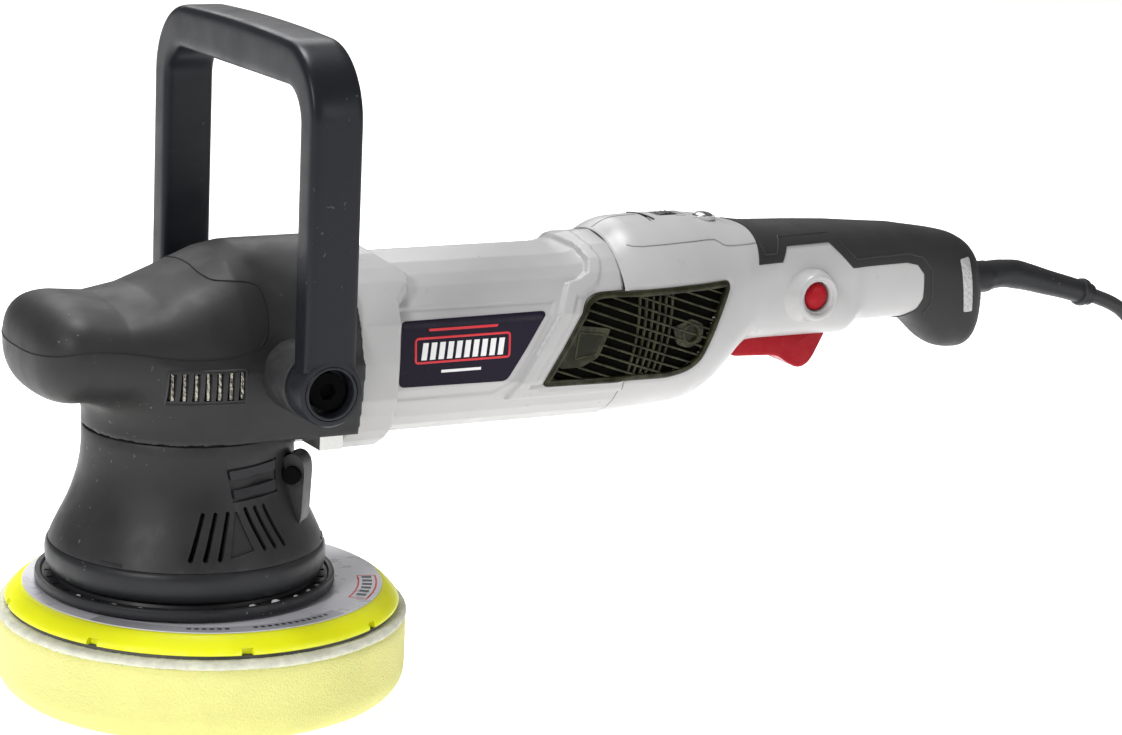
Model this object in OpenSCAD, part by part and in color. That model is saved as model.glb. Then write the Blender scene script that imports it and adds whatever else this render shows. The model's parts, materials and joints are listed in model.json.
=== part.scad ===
// Dual action polisher. +X runs from the head to the rear handle, -Y is the machine's left side,
// +Z is up. The origin is on the spindle axis, at the level of the foam pad's working face.

/* [Polishing pad] */
// Diameter of the backing plate
plate_d = 150; // [145:0.5:152]
// Widest diameter of the foam pad
foam_d = 156; // [152:0.5:160]
// Height of the foam, without its fleece
foam_h = 30.4; // [26:0.1:31]
// Offset of the pad axis from the spindle axis, half of the orbit
orbit_r = 7.5; // [4:0.1:8]

/* [Head] */
// Radius of the neck between the shroud and the gear cover
neck_r = 40; // [39:0.1:41]
// Widest radius of the rubber ring under the shroud
ring_r = 53.2; // [51:0.1:55]
// Radius of the brake skirt
skirt_r = 56.8; // [54:0.1:58]
// Reach of the palm grip ahead of the spindle
palm_reach = 72; // [70:0.5:78]
// Radius of the gear cover around the motor axis
cover_r = 42.8; // [42.4:0.1:44]

/* [Motor] */
// Height of the motor axis above the working face
motor_z = 130; // [129:0.1:131]
// Outer radius of the motor housing
housing_r = 35.6; // [35.4:0.1:36]
// Outer radius of the housing's front collar
collar_r = 40.4; // [39.6:0.1:41]

/* [D-handle] */
// Width over the outside of the two legs
bail_w = 150; // [148:0.5:156]
// Height of the top of the handle above its pivot
bail_h = 126; // [118:0.5:130]
// Width of the section along the machine
bail_dx = 20; // [16:0.5:24]
// Thickness of the legs
bail_t = 12.6; // [12.3:0.1:12.9]

/* [Mains lead] */
// Diameter of the mains lead
cord_d = 6.4; // [6:0.1:6.6]

/* [Hidden] */

eps = 0.01;
gap = 0.3;              // air between pieces that only stand next to each other
fit = 0.05;             // radial clearance of a running fit
col_black = [0.20, 0.21, 0.22];
col_shell = [0.27, 0.28, 0.29];
col_silver = [0.80, 0.80, 0.79];
col_steel = [0.62, 0.63, 0.65];
col_red = [0.75, 0.08, 0.14];

// heights of the pad stack
fleece_z = foam_h;
hook_z = fleece_z + 2.6;
plate_z = hook_z + 1.2;
plate_h = 6.8;
label_z = plate_z + plate_h;
label_t = 0.5;
skirt_z = label_z + label_t + 0.7;
skirt_h = 4.6;
ring_z = skirt_z + skirt_h;
ring_h = 12.5;
shroud_z = ring_z + ring_h;
neck_z = 104;           // joint between the shroud and the gear cover

// spindle
pin_r = 6;
spindle_r = 7;
hub_r = 16;
hub_h = 15;
pin_z = label_z + 4;
flange_z = label_z + hub_h + 3;
flange_h = 6;
weight_h = 10;
top_z = 151;

// gears: the pinion turns four times for each turn of the crown gear
pinion_teeth = 8;
crown_teeth = 32;
pinion_pitch_r = 7;
crown_pitch_r = 28;
tooth_w = 1.6;
crown_tip_z = motor_z - pinion_pitch_r + 0.4;
crown_root_z = crown_tip_z - 2.4;
crown_disc_h = 7;

// positions along the motor axis
gear_x = crown_pitch_r;
gear_face = 7;
case_r = 36.6;
gearbox_end = 50;
cover_end = 52;
collar_len = 20;
housing_end = 170;
housing_wall = 2.6;
shaft_r = 4.5;

// D-handle
bail_x = 24;
boss_r = 14.5;
bolt_r = 4;
bail_in = bail_w / 2 - bail_t;
boss_end = bail_in - 0.6;

// rear handle
grip_end = 360;
wall = 2.6;
trigger_pivot = [236, 0, 122];
trigger_pin_r = 1.8;
button_x = 264;
button_z = 141;
notch_turn = 35;         // where the first of the plate's notches sits
dial_c = [205, 0, 164];
dial_r = 10.4;

// cord: boot, hanging stretch, coil on the floor and plug
coil_c = [511, -40];
coil_cols = 3;
coil_rows = 4;
coil_mid_r = 35;
coil_in_r = coil_mid_r - coil_cols * cord_d / 2;
coil_out_r = coil_mid_r + coil_cols * cord_d / 2;
coil_h = coil_rows * cord_d;
lead_y = coil_c[1] + coil_out_r - cord_d / 2;
boot_z = 138.6;
BOOT_ROUTE = [
    [365.9, 0, boot_z], [374, 0, 139.4], [382, 0, 138.8], [390, 0, 137], [400, 0, 134.2], [412, 0, 131],
    [424, 0, 127.4]];
CORD_ROUTE = [
    [424, 0, 127.4], [433, 0, 124.4], [443, 0, 119.6], [453, 0, 110], [461, 0, 95], [466, 0, 76],
    [469, 0, 56], [473, 0, 37], [480, 0, 22], [490, 1, 10], [502, lead_y, cord_d / 2],
    [511, lead_y, cord_d / 2]];
TAIL_ROUTE = [
    [511, lead_y, coil_h - cord_d / 2], [522, lead_y, coil_h - cord_d / 2], [536, 1, 21],
    [552, 0, 18], [566, 0, 15], [580, 0, 14]];
plug_z = 14;
plug_x = 580;

// ---------- shared shapes ----------

// a point on a rounded section: t runs around it, e = 2 is an ellipse and more is squarer
function rounded(t, e) = [sign(cos(t)) * pow(abs(cos(t)), 2 / e), sign(sin(t)) * pow(abs(sin(t)), 2 / e)];

// one ring of a loft; a station is [x, half width, bottom, top, squareness]
function loft_ring(s, inset, n) = [for (i = [0:n - 1])
    let (p = rounded(360 * (i + 0.5) / n, s[4]))
    [s[0], (s[1] - inset) * p[0], (s[2] + s[3]) / 2 + ((s[3] - s[2]) / 2 - inset) * p[1]]];

module loft(stations, inset = 0, n = 32) {
    m = len(stations);
    points = [for (s = stations) each loft_ring(s, inset, n)];
    sides = [for (k = [0:m - 2], i = [0:n - 1])
        let (a = k * n + i, b = k * n + (i + 1) % n)
        each [[a, a + n, b], [b, a + n, b + n]]];
    caps = [[for (i = [0:n - 1]) i], [for (i = [n - 1:-1:0]) (m - 1) * n + i]];
    polyhedron(points = points, faces = concat(sides, caps), convexity = 4);
}

// a round tube swept along a route; each ring is square to the mean of its two neighbours
function unit(v) = v / norm(v);
function along(r, i) = unit(r[min(i + 1, len(r) - 1)] - r[max(i - 1, 0)]);
function tube_ring(r, i, rad, n) =
    let (d = along(r, i), side = unit(cross([0.01, 1, 0.02], d)), up = cross(d, side))
    [for (k = [0:n - 1]) r[i] + rad * (cos(360 * k / n) * side + sin(360 * k / n) * up)];

module tube(route, rad, n = 10, end_rad = undef) {
    m = len(route);
    grow = is_undef(end_rad) ? 0 : (end_rad - rad) / (m - 1);
    points = [for (i = [0:m - 1]) each tube_ring(route, i, rad + grow * i, n)];
    sides = [for (k = [0:m - 2], i = [0:n - 1])
        let (a = k * n + i, b = k * n + (i + 1) % n)
        each [[a, a + n, b], [b, a + n, b + n]]];
    caps = [[for (i = [0:n - 1]) i], [for (i = [n - 1:-1:0]) (m - 1) * n + i]];
    polyhedron(points = points, faces = concat(sides, caps), convexity = 6);
}

// a smooth run through the points: a few steps of each Catmull-Rom segment
function knot(r, i) = r[max(0, min(len(r) - 1, i))];
function smooth(r, steps) = [for (i = [0:len(r) - 2], k = [0:steps - 1])
    let (t = k / steps, a = knot(r, i - 1), b = r[i], c = r[i + 1], d = knot(r, i + 2))
    0.5 * (2 * b + (c - a) * t + (2 * a - 5 * b + 4 * c - d) * t * t + (3 * b - a - 3 * c + d) * t * t * t)];

module along_x(x, r, len, fn = 96) {
    translate([x, 0, motor_z]) rotate([0, 90, 0]) cylinder(h = len, r = r, $fn = fn);
}

module ring_x(x, r_in, r_out, len) {
    difference() {
        along_x(x, r_out, len);
        along_x(x - 1, r_in, len + 2);
    }
}

module ring_z(z, r_in, r_out, h) {
    translate([0, 0, z]) difference() {
        cylinder(h = h, r = r_out, $fn = 96);
        translate([0, 0, -1]) cylinder(h = h + 2, r = r_in, $fn = 96);
    }
}

// an outline drawn in the XZ plane, from y0 to y1
module side_cut(outline, y0, y1) {
    translate([0, y1, 0]) rotate([90, 0, 0]) linear_extrude(y1 - y0) polygon(outline);
}

// an outline of quarter-round corners: each is [x, y, radius, first angle]
function arc(c, steps = 5) = [for (k = [0:steps])
    [c[0] + c[2] * cos(c[3] + 90 * k / steps), c[1] + c[2] * sin(c[3] + 90 * k / steps)]];

// ---------- polishing pad, on the eccentric pin ----------

module on_pad_axis() {
    translate([orbit_r, 0, 0]) children();
}

module foam_pad() {
    r = foam_d / 2;
    round_r = 11;
    color([0.95, 0.94, 0.60]) on_pad_axis() rotate_extrude($fn = 96)
        polygon(concat([[0, 0]], arc([r - round_r, round_r, round_r, 270]), [[r - 1.2, foam_h], [0, foam_h]]));
}

module pad_fleece() {
    color([0.93, 0.93, 0.90]) on_pad_axis() translate([0, 0, fleece_z])
        cylinder(h = hook_z - fleece_z, r = foam_d / 2 - 1, $fn = 96);
}

module hook_layer() {
    color([0.15, 0.15, 0.15]) on_pad_axis() translate([0, 0, hook_z])
        cylinder(h = plate_z - hook_z, r = plate_d / 2 - 1, $fn = 96);
}

module backing_plate() {
    r = plate_d / 2;
    color([0.90, 0.93, 0.20]) on_pad_axis() difference() {
        translate([0, 0, plate_z]) rotate_extrude($fn = 96)
            polygon([[0, 0], [r, 0], [r, 1.6], [r - 6, plate_h], [0, plate_h]]);
        for (k = [0:7]) rotate(45 * k + notch_turn) translate([r - 2.4, -1.6, plate_z - 1]) cube([5, 3.2, 3.4]);
    }
}

module plate_label() {
    color([0.84, 0.84, 0.86]) on_pad_axis() ring_z(label_z, hub_r + gap, plate_d / 2 - 6.4, label_t);
}

module pad_hub() {
    color(col_steel) on_pad_axis() difference() {
        translate([0, 0, label_z]) cylinder(h = hub_h, r = hub_r, $fn = 64);
        translate([0, 0, label_z + 3]) cylinder(h = hub_h, r = 11, $fn = 64);
    }
}

module pad_bearing() {
    color(col_steel) on_pad_axis() ring_z(label_z + 3.6, pin_r + fit, 11, hub_h - 4.2);
}

// ---------- spindle ----------

module eccentric_shaft() {
    color(col_steel) union() {
        on_pad_axis() translate([0, 0, pin_z]) cylinder(h = flange_z - pin_z + eps, r = pin_r, $fn = 64);
        translate([0, 0, flange_z]) cylinder(h = flange_h, r = 16, $fn = 64);
        translate([0, 0, flange_z]) cylinder(h = top_z - flange_z, r = spindle_r, $fn = 64);
    }
}

module counterweight() {
    color([0.45, 0.46, 0.48]) difference() {
        translate([0, 0, flange_z]) cylinder(h = weight_h, r = 34, $fn = 64);
        translate([0, 0, flange_z - 1]) cylinder(h = weight_h + 2, r = 16, $fn = 64);
        translate([-10, -40, flange_z - 1]) cube([80, 80, weight_h + 2]);
    }
}

module crown_gear() {
    base = crown_root_z - crown_disc_h;
    color(col_steel) union() {
        ring_z(base, spindle_r, crown_pitch_r + 5, crown_disc_h);
        for (k = [0:crown_teeth - 1]) rotate(360 * (k + 0.5) / crown_teeth)
            translate([crown_pitch_r - 4.5, -tooth_w / 2, crown_root_z - eps])
                cube([9, tooth_w, crown_tip_z - crown_root_z]);
    }
}

// ---------- armature ----------

module pinion() {
    root_r = pinion_pitch_r - 0.9;
    tip_r = pinion_pitch_r + 0.7;
    color(col_steel) union() {
        ring_x(gear_x - gear_face / 2, shaft_r, root_r, gear_face);
        for (k = [0:pinion_teeth - 1]) translate([gear_x, 0, motor_z]) rotate([360 * k / pinion_teeth, 0, 0])
            translate([-gear_face / 2, -tooth_w / 2, -tip_r]) cube([gear_face, tooth_w, tip_r - root_r + 0.2]);
    }
}

module armature_shaft() {
    color(col_steel) along_x(gear_x - gear_face / 2 - 1, shaft_r, 180 - gear_x + gear_face / 2 + 1, 64);
}

module armature_core() {
    color([0.50, 0.48, 0.46]) difference() {
        ring_x(90, shaft_r, 20, 42);
        for (k = [0:11]) translate([89, 0, motor_z]) rotate([30 * k, 0, 0])
            translate([0, -1, 16.5]) cube([44, 2, 5]);
    }
}

module armature_windings() {
    color([0.72, 0.40, 0.20]) union() {
        ring_x(82, shaft_r, 17, 8);
        ring_x(132, shaft_r, 17, 8);
        for (k = [0:11]) translate([88, 0, motor_z]) rotate([30 * k, 0, 0])
            translate([0, -0.9, 16.6]) cube([46, 1.8, 2.6]);
    }
}

module commutator() {
    color([0.75, 0.48, 0.28]) ring_x(146, shaft_r, 11, 15);
}

module cooling_fan() {
    color(col_black) union() {
        ring_x(66, shaft_r, 9, 12);
        ring_x(66, 8.9, 30.5, 1.6);
        for (k = [0:14]) translate([67, 0, motor_z]) rotate([24 * k, 0, 0])
            translate([0, -0.8, 16]) cube([9, 1.6, 14]);
    }
}

// ---------- gearbox ----------

module gearbox_housing() {
    bear_r = 14;
    crown_end = 30;
    crown_x = 6;
    case_x = 16;
    color([0.74, 0.74, 0.72]) difference() {
        union() {
            translate([0, 0, 82]) cylinder(h = 20, r = 24, $fn = 96);
            translate([0, 0, 96.5]) cylinder(h = 30, r = case_r, $fn = 96);
            translate([0, 0, 120]) cylinder(h = 30.4, r = crown_end, $fn = 96);
            along_x(crown_x, case_r, gearbox_end - crown_x);
            translate([neck_r + 0.5, -31, 96.5]) cube([gearbox_end - neck_r - 0.5, 62, 14]);
            translate([0, -31, neck_z + 0.5]) cube([gearbox_end, 62, 8]);
        }
        ring_z(60, case_r, neck_r + 0.4, neck_z + 0.2 - 60);
        translate([0, 0, 100]) cylinder(h = 25, r = case_r - 3, $fn = 96);
        translate([0, 0, 100]) cylinder(h = 39.5, r = crown_end - 3, $fn = 96);
        along_x(case_x, case_r - 3, gearbox_end - 8 - case_x);
        translate([0, 0, 70]) cylinder(h = 78.6, r = bear_r, $fn = 96);
        translate([0, 0, 140]) cylinder(h = 40, r = spindle_r + 1, $fn = 96);
        along_x(case_x, bear_r, gearbox_end);
    }
}

module spindle_bearing_lower() {
    color(col_steel) ring_z(84, spindle_r + fit, 14, 11);
}

module spindle_bearing_upper() {
    color(col_steel) ring_z(140.4, spindle_r + fit, 14, 8);
}

module armature_bearing_front() {
    color(col_steel) ring_x(gearbox_end - 9, shaft_r + fit, 14, 9);
}

module armature_bearing_rear() {
    color(col_steel) ring_x(168, shaft_r + fit, 10, 8);
}

module bearing_bracket() {
    color([0.55, 0.55, 0.53]) difference() {
        union() {
            ring_x(166, 10, 13.5, 11);
            translate([167, -32, motor_z - 4]) cube([5, 20.5, 8]);
            translate([167, 11.5, motor_z - 4]) cube([5, 20.5, 8]);
        }
        along_x(160, 10, 30);
    }
}

// ---------- gear cover and palm grip ----------

COVER = [
    [-palm_reach, 10, 130, 143, 2.2], [-palm_reach + 2, 19, 124.6, 149.4, 2.3],
    [-palm_reach + 6, 26, 121, 153.2, 2.4], [-palm_reach + 12, 31, 118.8, 155.6, 2.4],
    [-50, 34.6, 117.2, 156, 2.5], [-36, 36.4, 116, 154.6, 2.5], [-22, 38.6, 112.5, 157.2, 2.4],
    [-8, 41, 104, 163.4, 2.2], [6, 42.6, 92, 170.6, 2.1], [20, cover_r, 87, motor_z + cover_r, 2],
    [cover_end, cover_r, 87, motor_z + cover_r, 2]];
SEAM = [
    [-90, 144], [-60, 142], [-38, 139.6], [-18, 135.2], [12, 134.2], [17, 138], [18.4, 145], [17.6, 153],
    [12, 162], [3, 164], [-10, 165.5], [-8, 190], [-90, 190]];

module cover_outer(inset = 0) {
    loft(COVER, inset);
}

module neck_sleeve() {
    translate([0, 0, neck_z]) cylinder(h = 26, r = neck_r, $fn = 64);
}

module gear_cover() {
    color(col_shell) difference() {
        union() {
            cover_outer();
            neck_sleeve();
            for (s = [-1, 1]) translate([bail_x, s * 30, motor_z]) rotate([s * -90, 0, 0])
                cylinder(h = boss_end - 30, r = boss_r, $fn = 64);
        }
        translate([-100, -100, 60]) cube([200, 200, neck_z - 60]);
        translate([cover_end, -100, 60]) cube([50, 200, 150]);
        difference() {
            side_cut(SEAM, -60, 60);
            cover_outer(3.2);
        }
        translate([0, 0, 90]) cylinder(h = 37, r = case_r + gap, $fn = 96);
        translate([0, 0, 120]) cylinder(h = 31.5, r = 30.4, $fn = 96);
        along_x(5.5, case_r + gap, 80);
        translate([0, -31.3, 90]) cube([80, 62.6, 24]);
        for (k = [-3:3]) translate([-11.5 + 4.2 * k, -60, 122.5]) cube([1.8, 120, 11]);
        for (s = [-1, 1]) translate([bail_x, s * 36, motor_z]) rotate([s * -90, 0, 0])
            cylinder(h = 40, r = bolt_r, $fn = 64);
    }
}

module grip_shell() {
    color(col_black) difference() {
        intersection() {
            cover_outer();
            side_cut(SEAM, -60, 60);
        }
        cover_outer(3);
    }
}

// ---------- shroud, rubber ring and brake skirt ----------

module shroud() {
    profile = [
        [ring_r - 1.4, shroud_z], [49.5, 67.4], [45.4, 74.5], [42.4, 82], [neck_r, 91],
        [neck_r, neck_z - 0.4], [36.9, neck_z - 0.4], [36.9, 92], [39.4, 81], [42.4, 74], [46.2, 67],
        [ring_r - 4.8, shroud_z]];
    lug_a = -43;
    color(col_shell) difference() {
        union() {
            rotate_extrude($fn = 96) polygon(profile);
            rotate(lug_a) translate([38.4, -5, 72]) cube([9.4, 10, 24]);
        }
        difference() {
            translate([0, 0, 55]) cylinder(h = 46, r = 36.9, $fn = 96);
            translate([0, 0, 55]) cylinder(h = 46, r = 30, $fn = 96);
        }
        for (k = [-1, 1], j = [0:2]) rotate(-90 + k * (8 + 6.5 * j)) translate([35, -0.9, 64]) rotate([k * 24, 0, 0])
            cube([30, 1.8, 15]);
        rotate(lug_a) translate([43.8, 0, 89]) rotate([90, 0, 0]) cylinder(h = 40, r = 2.2, center = true, $fn = 32);
    }
}

module clamp_screw() {
    color(col_steel) rotate(-43) translate([43.8, 0, 89]) rotate([90, 0, 0]) {
        translate([0, 0, -5]) cylinder(h = 10, r = 2.2, $fn = 32);
        translate([0, 0, 5 - eps]) cylinder(h = 2.4, r = 3.4, $fn = 32);
    }
}

module shroud_ring() {
    r = ring_r;
    color(col_black) rotate_extrude($fn = 96) polygon([
        [r - 4.6, ring_z], [r - 1.6, ring_z + 1.2], [r - 0.3, ring_z + 5], [r, ring_z + 9],
        [r - 1.4, ring_z + ring_h], [r - 4.8, ring_z + ring_h], [r - 6.4, ring_z + 9], [r - 8, ring_z]]);
}

module brake_skirt() {
    color(col_black) difference() {
        translate([0, 0, skirt_z]) rotate_extrude($fn = 96) polygon([
            [skirt_r - 14, 0], [skirt_r - 1, 0], [skirt_r, 1], [skirt_r, skirt_h - 1],
            [skirt_r - 1, skirt_h - 0.2], [skirt_r - 2.6, skirt_h - 0.2], [skirt_r - 3.4, skirt_h - 1.6],
            [ring_r - 4.2, skirt_h - 1.6], [ring_r - 4.6, skirt_h], [skirt_r - 14, skirt_h]]);
        for (k = [0:35]) rotate(10 * k) translate([ring_r - 3.2, -0.8, skirt_z - 1])
            cube([2.8, 1.6, skirt_h + 2]);
    }
}

// ---------- D-handle ----------

// outline of the handle seen along the machine: y across, z up from the pivot
module bail_outline() {
    o = bail_w / 2;
    i = bail_in;
    outer_r = 28;
    inner_r = 13;
    bar_z = bail_h - 18;    // underside of the top bar
    outer = concat(
        [[o, 0]], arc([o - outer_r, bail_h - outer_r - 1, outer_r, 0]), [[0, bail_h]],
        arc([outer_r - o, bail_h - outer_r - 1, outer_r, 90]), [[-o, 0]]);
    inner = concat(
        [[i, -20]], arc([i - inner_r, bar_z - inner_r, inner_r, 0]), arc([inner_r - i, bar_z - inner_r, inner_r, 90]),
        [[-i, -20]]);
    difference() {
        polygon(outer);
        polygon(inner);
    }
}

module d_handle() {
    foot_r = 12.6;
    color(col_black) difference() {
        union() {
            translate([bail_x - bail_dx / 2, 0, motor_z]) rotate([90, 0, 90])
                linear_extrude(bail_dx) bail_outline();
            for (s = [-1, 1]) translate([bail_x, s * bail_in, motor_z]) rotate([s * -90, 0, 0])
                cylinder(h = bail_t, r = foot_r, $fn = 64);
        }
        for (s = [-1, 1]) translate([bail_x, s * bail_in, motor_z]) rotate([s * -90, 0, 0]) {
            translate([0, 0, -1]) cylinder(h = bail_t, r = bolt_r + fit, $fn = 64);
            translate([0, 0, bail_t - 8]) cylinder(h = 9, r = 8.8, $fn = 64);
        }
    }
}

module handle_bolt(s) {
    color(col_steel) translate([bail_x, s * 40, motor_z]) rotate([s * -90, 0, 0]) difference() {
        union() {
            cylinder(h = bail_in + bail_t - 8 - 40 + 0.3, r = bolt_r, $fn = 64);
            translate([0, 0, bail_in + bail_t - 8 - 40 + 0.3 - eps]) cylinder(h = 4.5, r = 7, $fn = 64);
        }
        translate([0, 0, bail_in + bail_t - 8 - 40 + 2]) cylinder(h = 5, r = 3.4, $fn = 6);
    }
}

// ---------- motor housing ----------

// window for the air grille, drawn in the XZ plane
GRILLE = [
    [133, 115], [152, 147.6], [158, 149.8], [219, 150.6], [218.4, 147], [206, 119.4], [200, 115.4], [192, 113.6]];

module window(s) {
    side_cut(GRILLE, s > 0 ? 20 : -60, s > 0 ? 60 : -20);
}

module motor_housing() {
    r = housing_r;
    color(col_silver) difference() {
        translate([cover_end + gap, 0, motor_z]) rotate([0, 90, 0]) rotate_extrude($fn = 96)
            polygon([
                [r - housing_wall, 0], [collar_r - 1.5, 0], [collar_r, 1.5], [collar_r, collar_len - 4],
                [collar_r - 1, collar_len - 1], [r, collar_len + 1.5], [r, housing_end - cover_end - gap],
                [r - housing_wall, housing_end - cover_end - gap]]);
        for (s = [-1, 1]) window(s);
    }
}

module stator() {
    color([0.45, 0.44, 0.43]) difference() {
        ring_x(88, 21, housing_r - housing_wall, 46);
        for (s = [-1, 1]) translate([87, s * 28 - 5, motor_z - 5]) cube([48, 10, 10]);
    }
}

module air_baffle() {
    color(col_black) ring_x(79, 26, housing_r - housing_wall, 2);
}

module brush_holder(s) {
    color([0.72, 0.62, 0.35]) difference() {
        translate([147.5, s > 0 ? 12.5 : -32, motor_z - 6]) cube([11, 19.5, 12]);
        translate([149.5, s > 0 ? 11 : -40, motor_z - 4]) cube([7, 29, 8]);
    }
}

module carbon_brush(s) {
    color([0.18, 0.18, 0.18]) translate([149.5 + 0.1, s > 0 ? 11.3 : -27.3, motor_z - 3.9]) cube([6.8, 16, 7.8]);
}

// ---------- side labels and grilles ----------

screw_x = 200;
screw_z = 131.8;

module side_label(s) {
    outline = [[76, 144.2], [75.6, 119], [118, 118.4], [134.4, 144.8]];
    color([0.12, 0.11, 0.16]) intersection() {
        side_cut(outline, s > 0 ? 20 : -50, s > 0 ? 50 : -20);
        ring_x(60, housing_r + 0.02, housing_r + 0.9, 90);
    }
}

// the grille follows the housing over its front part and the tapering handle over its rear part
GRILLE_FACE = [
    [120, 36.8, 93.2, 166.8, 2], [172, 37, 94, 168.4, 2], [190, 36.4, 95.8, 174.6, 2.1],
    [206, 34.4, 96.8, 174.6, 2.2], [222, 30.2, 99.4, 172.8, 2.4], [236, 26.8, 106, 170, 2.6]];

module vent_grille(s) {
    y0 = s > 0 ? 20.6 : -60;
    y1 = s > 0 ? 60 : -20.6;
    color([0.18, 0.18, 0.12]) difference() {
        intersection() {
            translate([174, 0, 132]) scale([0.985, 1, 0.975]) translate([-174, 0, -132])
                side_cut(GRILLE, y0, y1);
            loft(GRILLE_FACE);
        }
        loft(GRILLE_FACE, 3);
        translate([screw_x, 0, screw_z]) rotate([90, 0, 0]) cylinder(h = 100, r = 2.6, center = true, $fn = 32);
        for (k = [0:6]) translate([157 + 3.2 * k, -60, 145.6 - 3.6 * k]) rotate([0, -8, 0])
            cube([k < 3 ? 50 - 5 * k : 30 - 2 * k, 120, 1.8]);
        for (k = [0:2]) translate([149 + 5 * k, -60, 121.6 - 2.6 * k]) rotate([0, -8, 0])
            cube([44 - 4 * k, 120, 1.8]);
    }
}

module grille_screw(s) {
    color(col_steel) translate([screw_x, s * 26, screw_z]) rotate([s * -90, 0, 0]) cylinder(h = 6, r = 2.5, $fn = 32);
}

// ---------- rear handle ----------

HANDLE = [
    [housing_end + 0.2, 35.8, 95, 169.2, 2], [175, 35.8, 95.2, 172, 2.02], [180, 35.8, 95.4, 173.6, 2.05],
    [206, 33.2, 97, 174, 2.2], [214, 31.2, 99.4, 173.6, 2.25], [220, 29.6, 103.4, 173, 2.3],
    [226, 28, 109.6, 171.8, 2.4], [231, 27, 116, 170.6, 2.5], [236, 25.6, 120.4, 169.4, 2.6],
    [246, 23.6, 121.2, 168, 3], [268, 22, 121, 167.4, 3],
    [288, 20.4, 120.6, 166.4, 3], [293, 19.2, 125, 166.1, 2.8], [316, 17, 125, 164.4, 2.6],
    [326, 16.6, 122.6, 162.8, 2.6], [335, 16.6, 114.4, 161.4, 2.6], [345, 16, 110.2, 159.2, 2.6],
    [355, 13.8, 110.4, 152.6, 2.4], [358.6, 10.4, 113.6, 147, 2.2], [grip_end, 6, 121, 141, 2]];
RUBBER = [
    [238.4, 190], [237, 164.5], [235.6, 155.4], [248.4, 155.4], [251.4, 161.2], [273.4, 161.6],
    [284.4, 150.6], [314.4, 150.6], [321.6, 144.4], [322, 133.4], [315.8, 128.2], [315.8, 124], [316, 100],
    [380, 100], [380, 190]];
rubber_t = 1.6;
joint_y = 0.02;         // half the joint between the two halves

module rubber_zone(inset) {
    difference() {
        side_cut(RUBBER, -40, 40);
        loft(HANDLE, inset);
    }
}

module handle_half(s) {
    color(col_silver) difference() {
        loft(HANDLE);
        loft(HANDLE, wall);
        along_x(150, housing_r - housing_wall, housing_end + 4 - 150);
        rubber_zone(rubber_t);
        translate([100, s > 0 ? -100 + joint_y : -joint_y, 60]) cube([300, 100, 140]);
        window(s);
        translate([229.5, -11, 90]) cube([53, 22, 38]);
        if (s < 0) translate([button_x, 0, button_z]) rotate([90, 0, 0]) cylinder(h = 100, r = 6, $fn = 48);
        translate([dial_c[0] - 11, -3.2, 160]) cube([22, 6.4, 30]);
        translate([340, 0, boot_z]) rotate([0, 90, 0]) cylinder(h = 40, r = 6.6, $fn = 48);
    }
}

module button_collar() {
    translate([button_x, -20, button_z]) rotate([90, 0, 0]) difference() {
        cylinder(h = 7.4, r = 9.6, $fn = 48);
        translate([0, 0, -10]) cylinder(h = 30, r = 6, $fn = 48);
    }
}

module handle_left() {
    handle_half(-1);
    color(col_silver) difference() {
        button_collar();
        loft(HANDLE, 1);
    }
    color(col_silver) translate([trigger_pivot[0], 10, trigger_pivot[2]]) rotate([90, 0, 0])
        cylinder(h = 32.6, r = trigger_pin_r, $fn = 32);
}

module handle_right() {
    handle_half(1);
}

module overmold() {
    color([0.22, 0.22, 0.22]) difference() {
        intersection() {
            loft(HANDLE);
            side_cut(RUBBER, -40, 40);
        }
        loft(HANDLE, rubber_t - 0.1);
        translate([340, 0, boot_z]) rotate([0, 90, 0]) cylinder(h = 40, r = 6.6, $fn = 48);
    }
}

module reflector(s) {
    outline = [[344.4, 150.4], [346.6, 128.2], [350.6, 128.2], [348.4, 150.4]];
    color([0.66, 0.66, 0.66]) intersection() {
        side_cut(outline, s > 0 ? 2 : -40, s > 0 ? 40 : -2);
        difference() {
            loft(HANDLE, -0.7);
            loft(HANDLE, -0.03);
        }
    }
}

// ---------- controls ----------

module trigger() {
    color(col_red) difference() {
        side_cut([
            [231.4, 116.6], [236, 114.4], [255, 113.6], [262, 110.6], [268, 107.4], [272.4, 107.8],
            [276.6, 111.6], [280.4, 120.6], [280, 126], [232, 125.6]], -9, 9);
        translate(trigger_pivot) rotate([90, 0, 0])
            cylinder(h = 40, r = trigger_pin_r + fit, center = true, $fn = 32);
    }
}

module switch_body() {
    color(col_black) translate([238, -9.5, 136]) cube([48, 19, 20]);
}

module lock_button() {
    color(col_red) translate([button_x, -15, button_z]) rotate([90, 0, 0]) cylinder(h = 14, r = 5.9, $fn = 48);
}

module speed_dial() {
    color(col_black) translate(dial_c) rotate([90, 0, 0]) difference() {
        cylinder(h = 5, r = dial_r, center = true, $fn = 48);
        cylinder(h = 8, r = 2 + fit, center = true, $fn = 48);
    }
}

module control_board() {
    color([0.15, 0.40, 0.22]) union() {
        translate([190, -14, 148]) cube([32, 1.6, 17]);
        translate([dial_c[0], -12.6, dial_c[2]]) rotate([-90, 0, 0]) cylinder(h = 16, r = 2, $fn = 48);
    }
}

// ---------- mains lead ----------

module cable_boot() {
    color(col_black) union() {
        translate([350, 0, boot_z]) rotate([0, 90, 0]) cylinder(h = 16, r = 6.2, $fn = 48);
        tube(BOOT_ROUTE, 6.2, 16, 4.9);
        translate([419, 0, 129]) rotate([0, 108, 0]) cylinder(h = 4, r = 6, $fn = 32);
    }
}

module cord() {
    color(col_black) tube(concat(smooth(CORD_ROUTE, 3), [CORD_ROUTE[len(CORD_ROUTE) - 1]]), cord_d / 2, 10);
}

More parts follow.
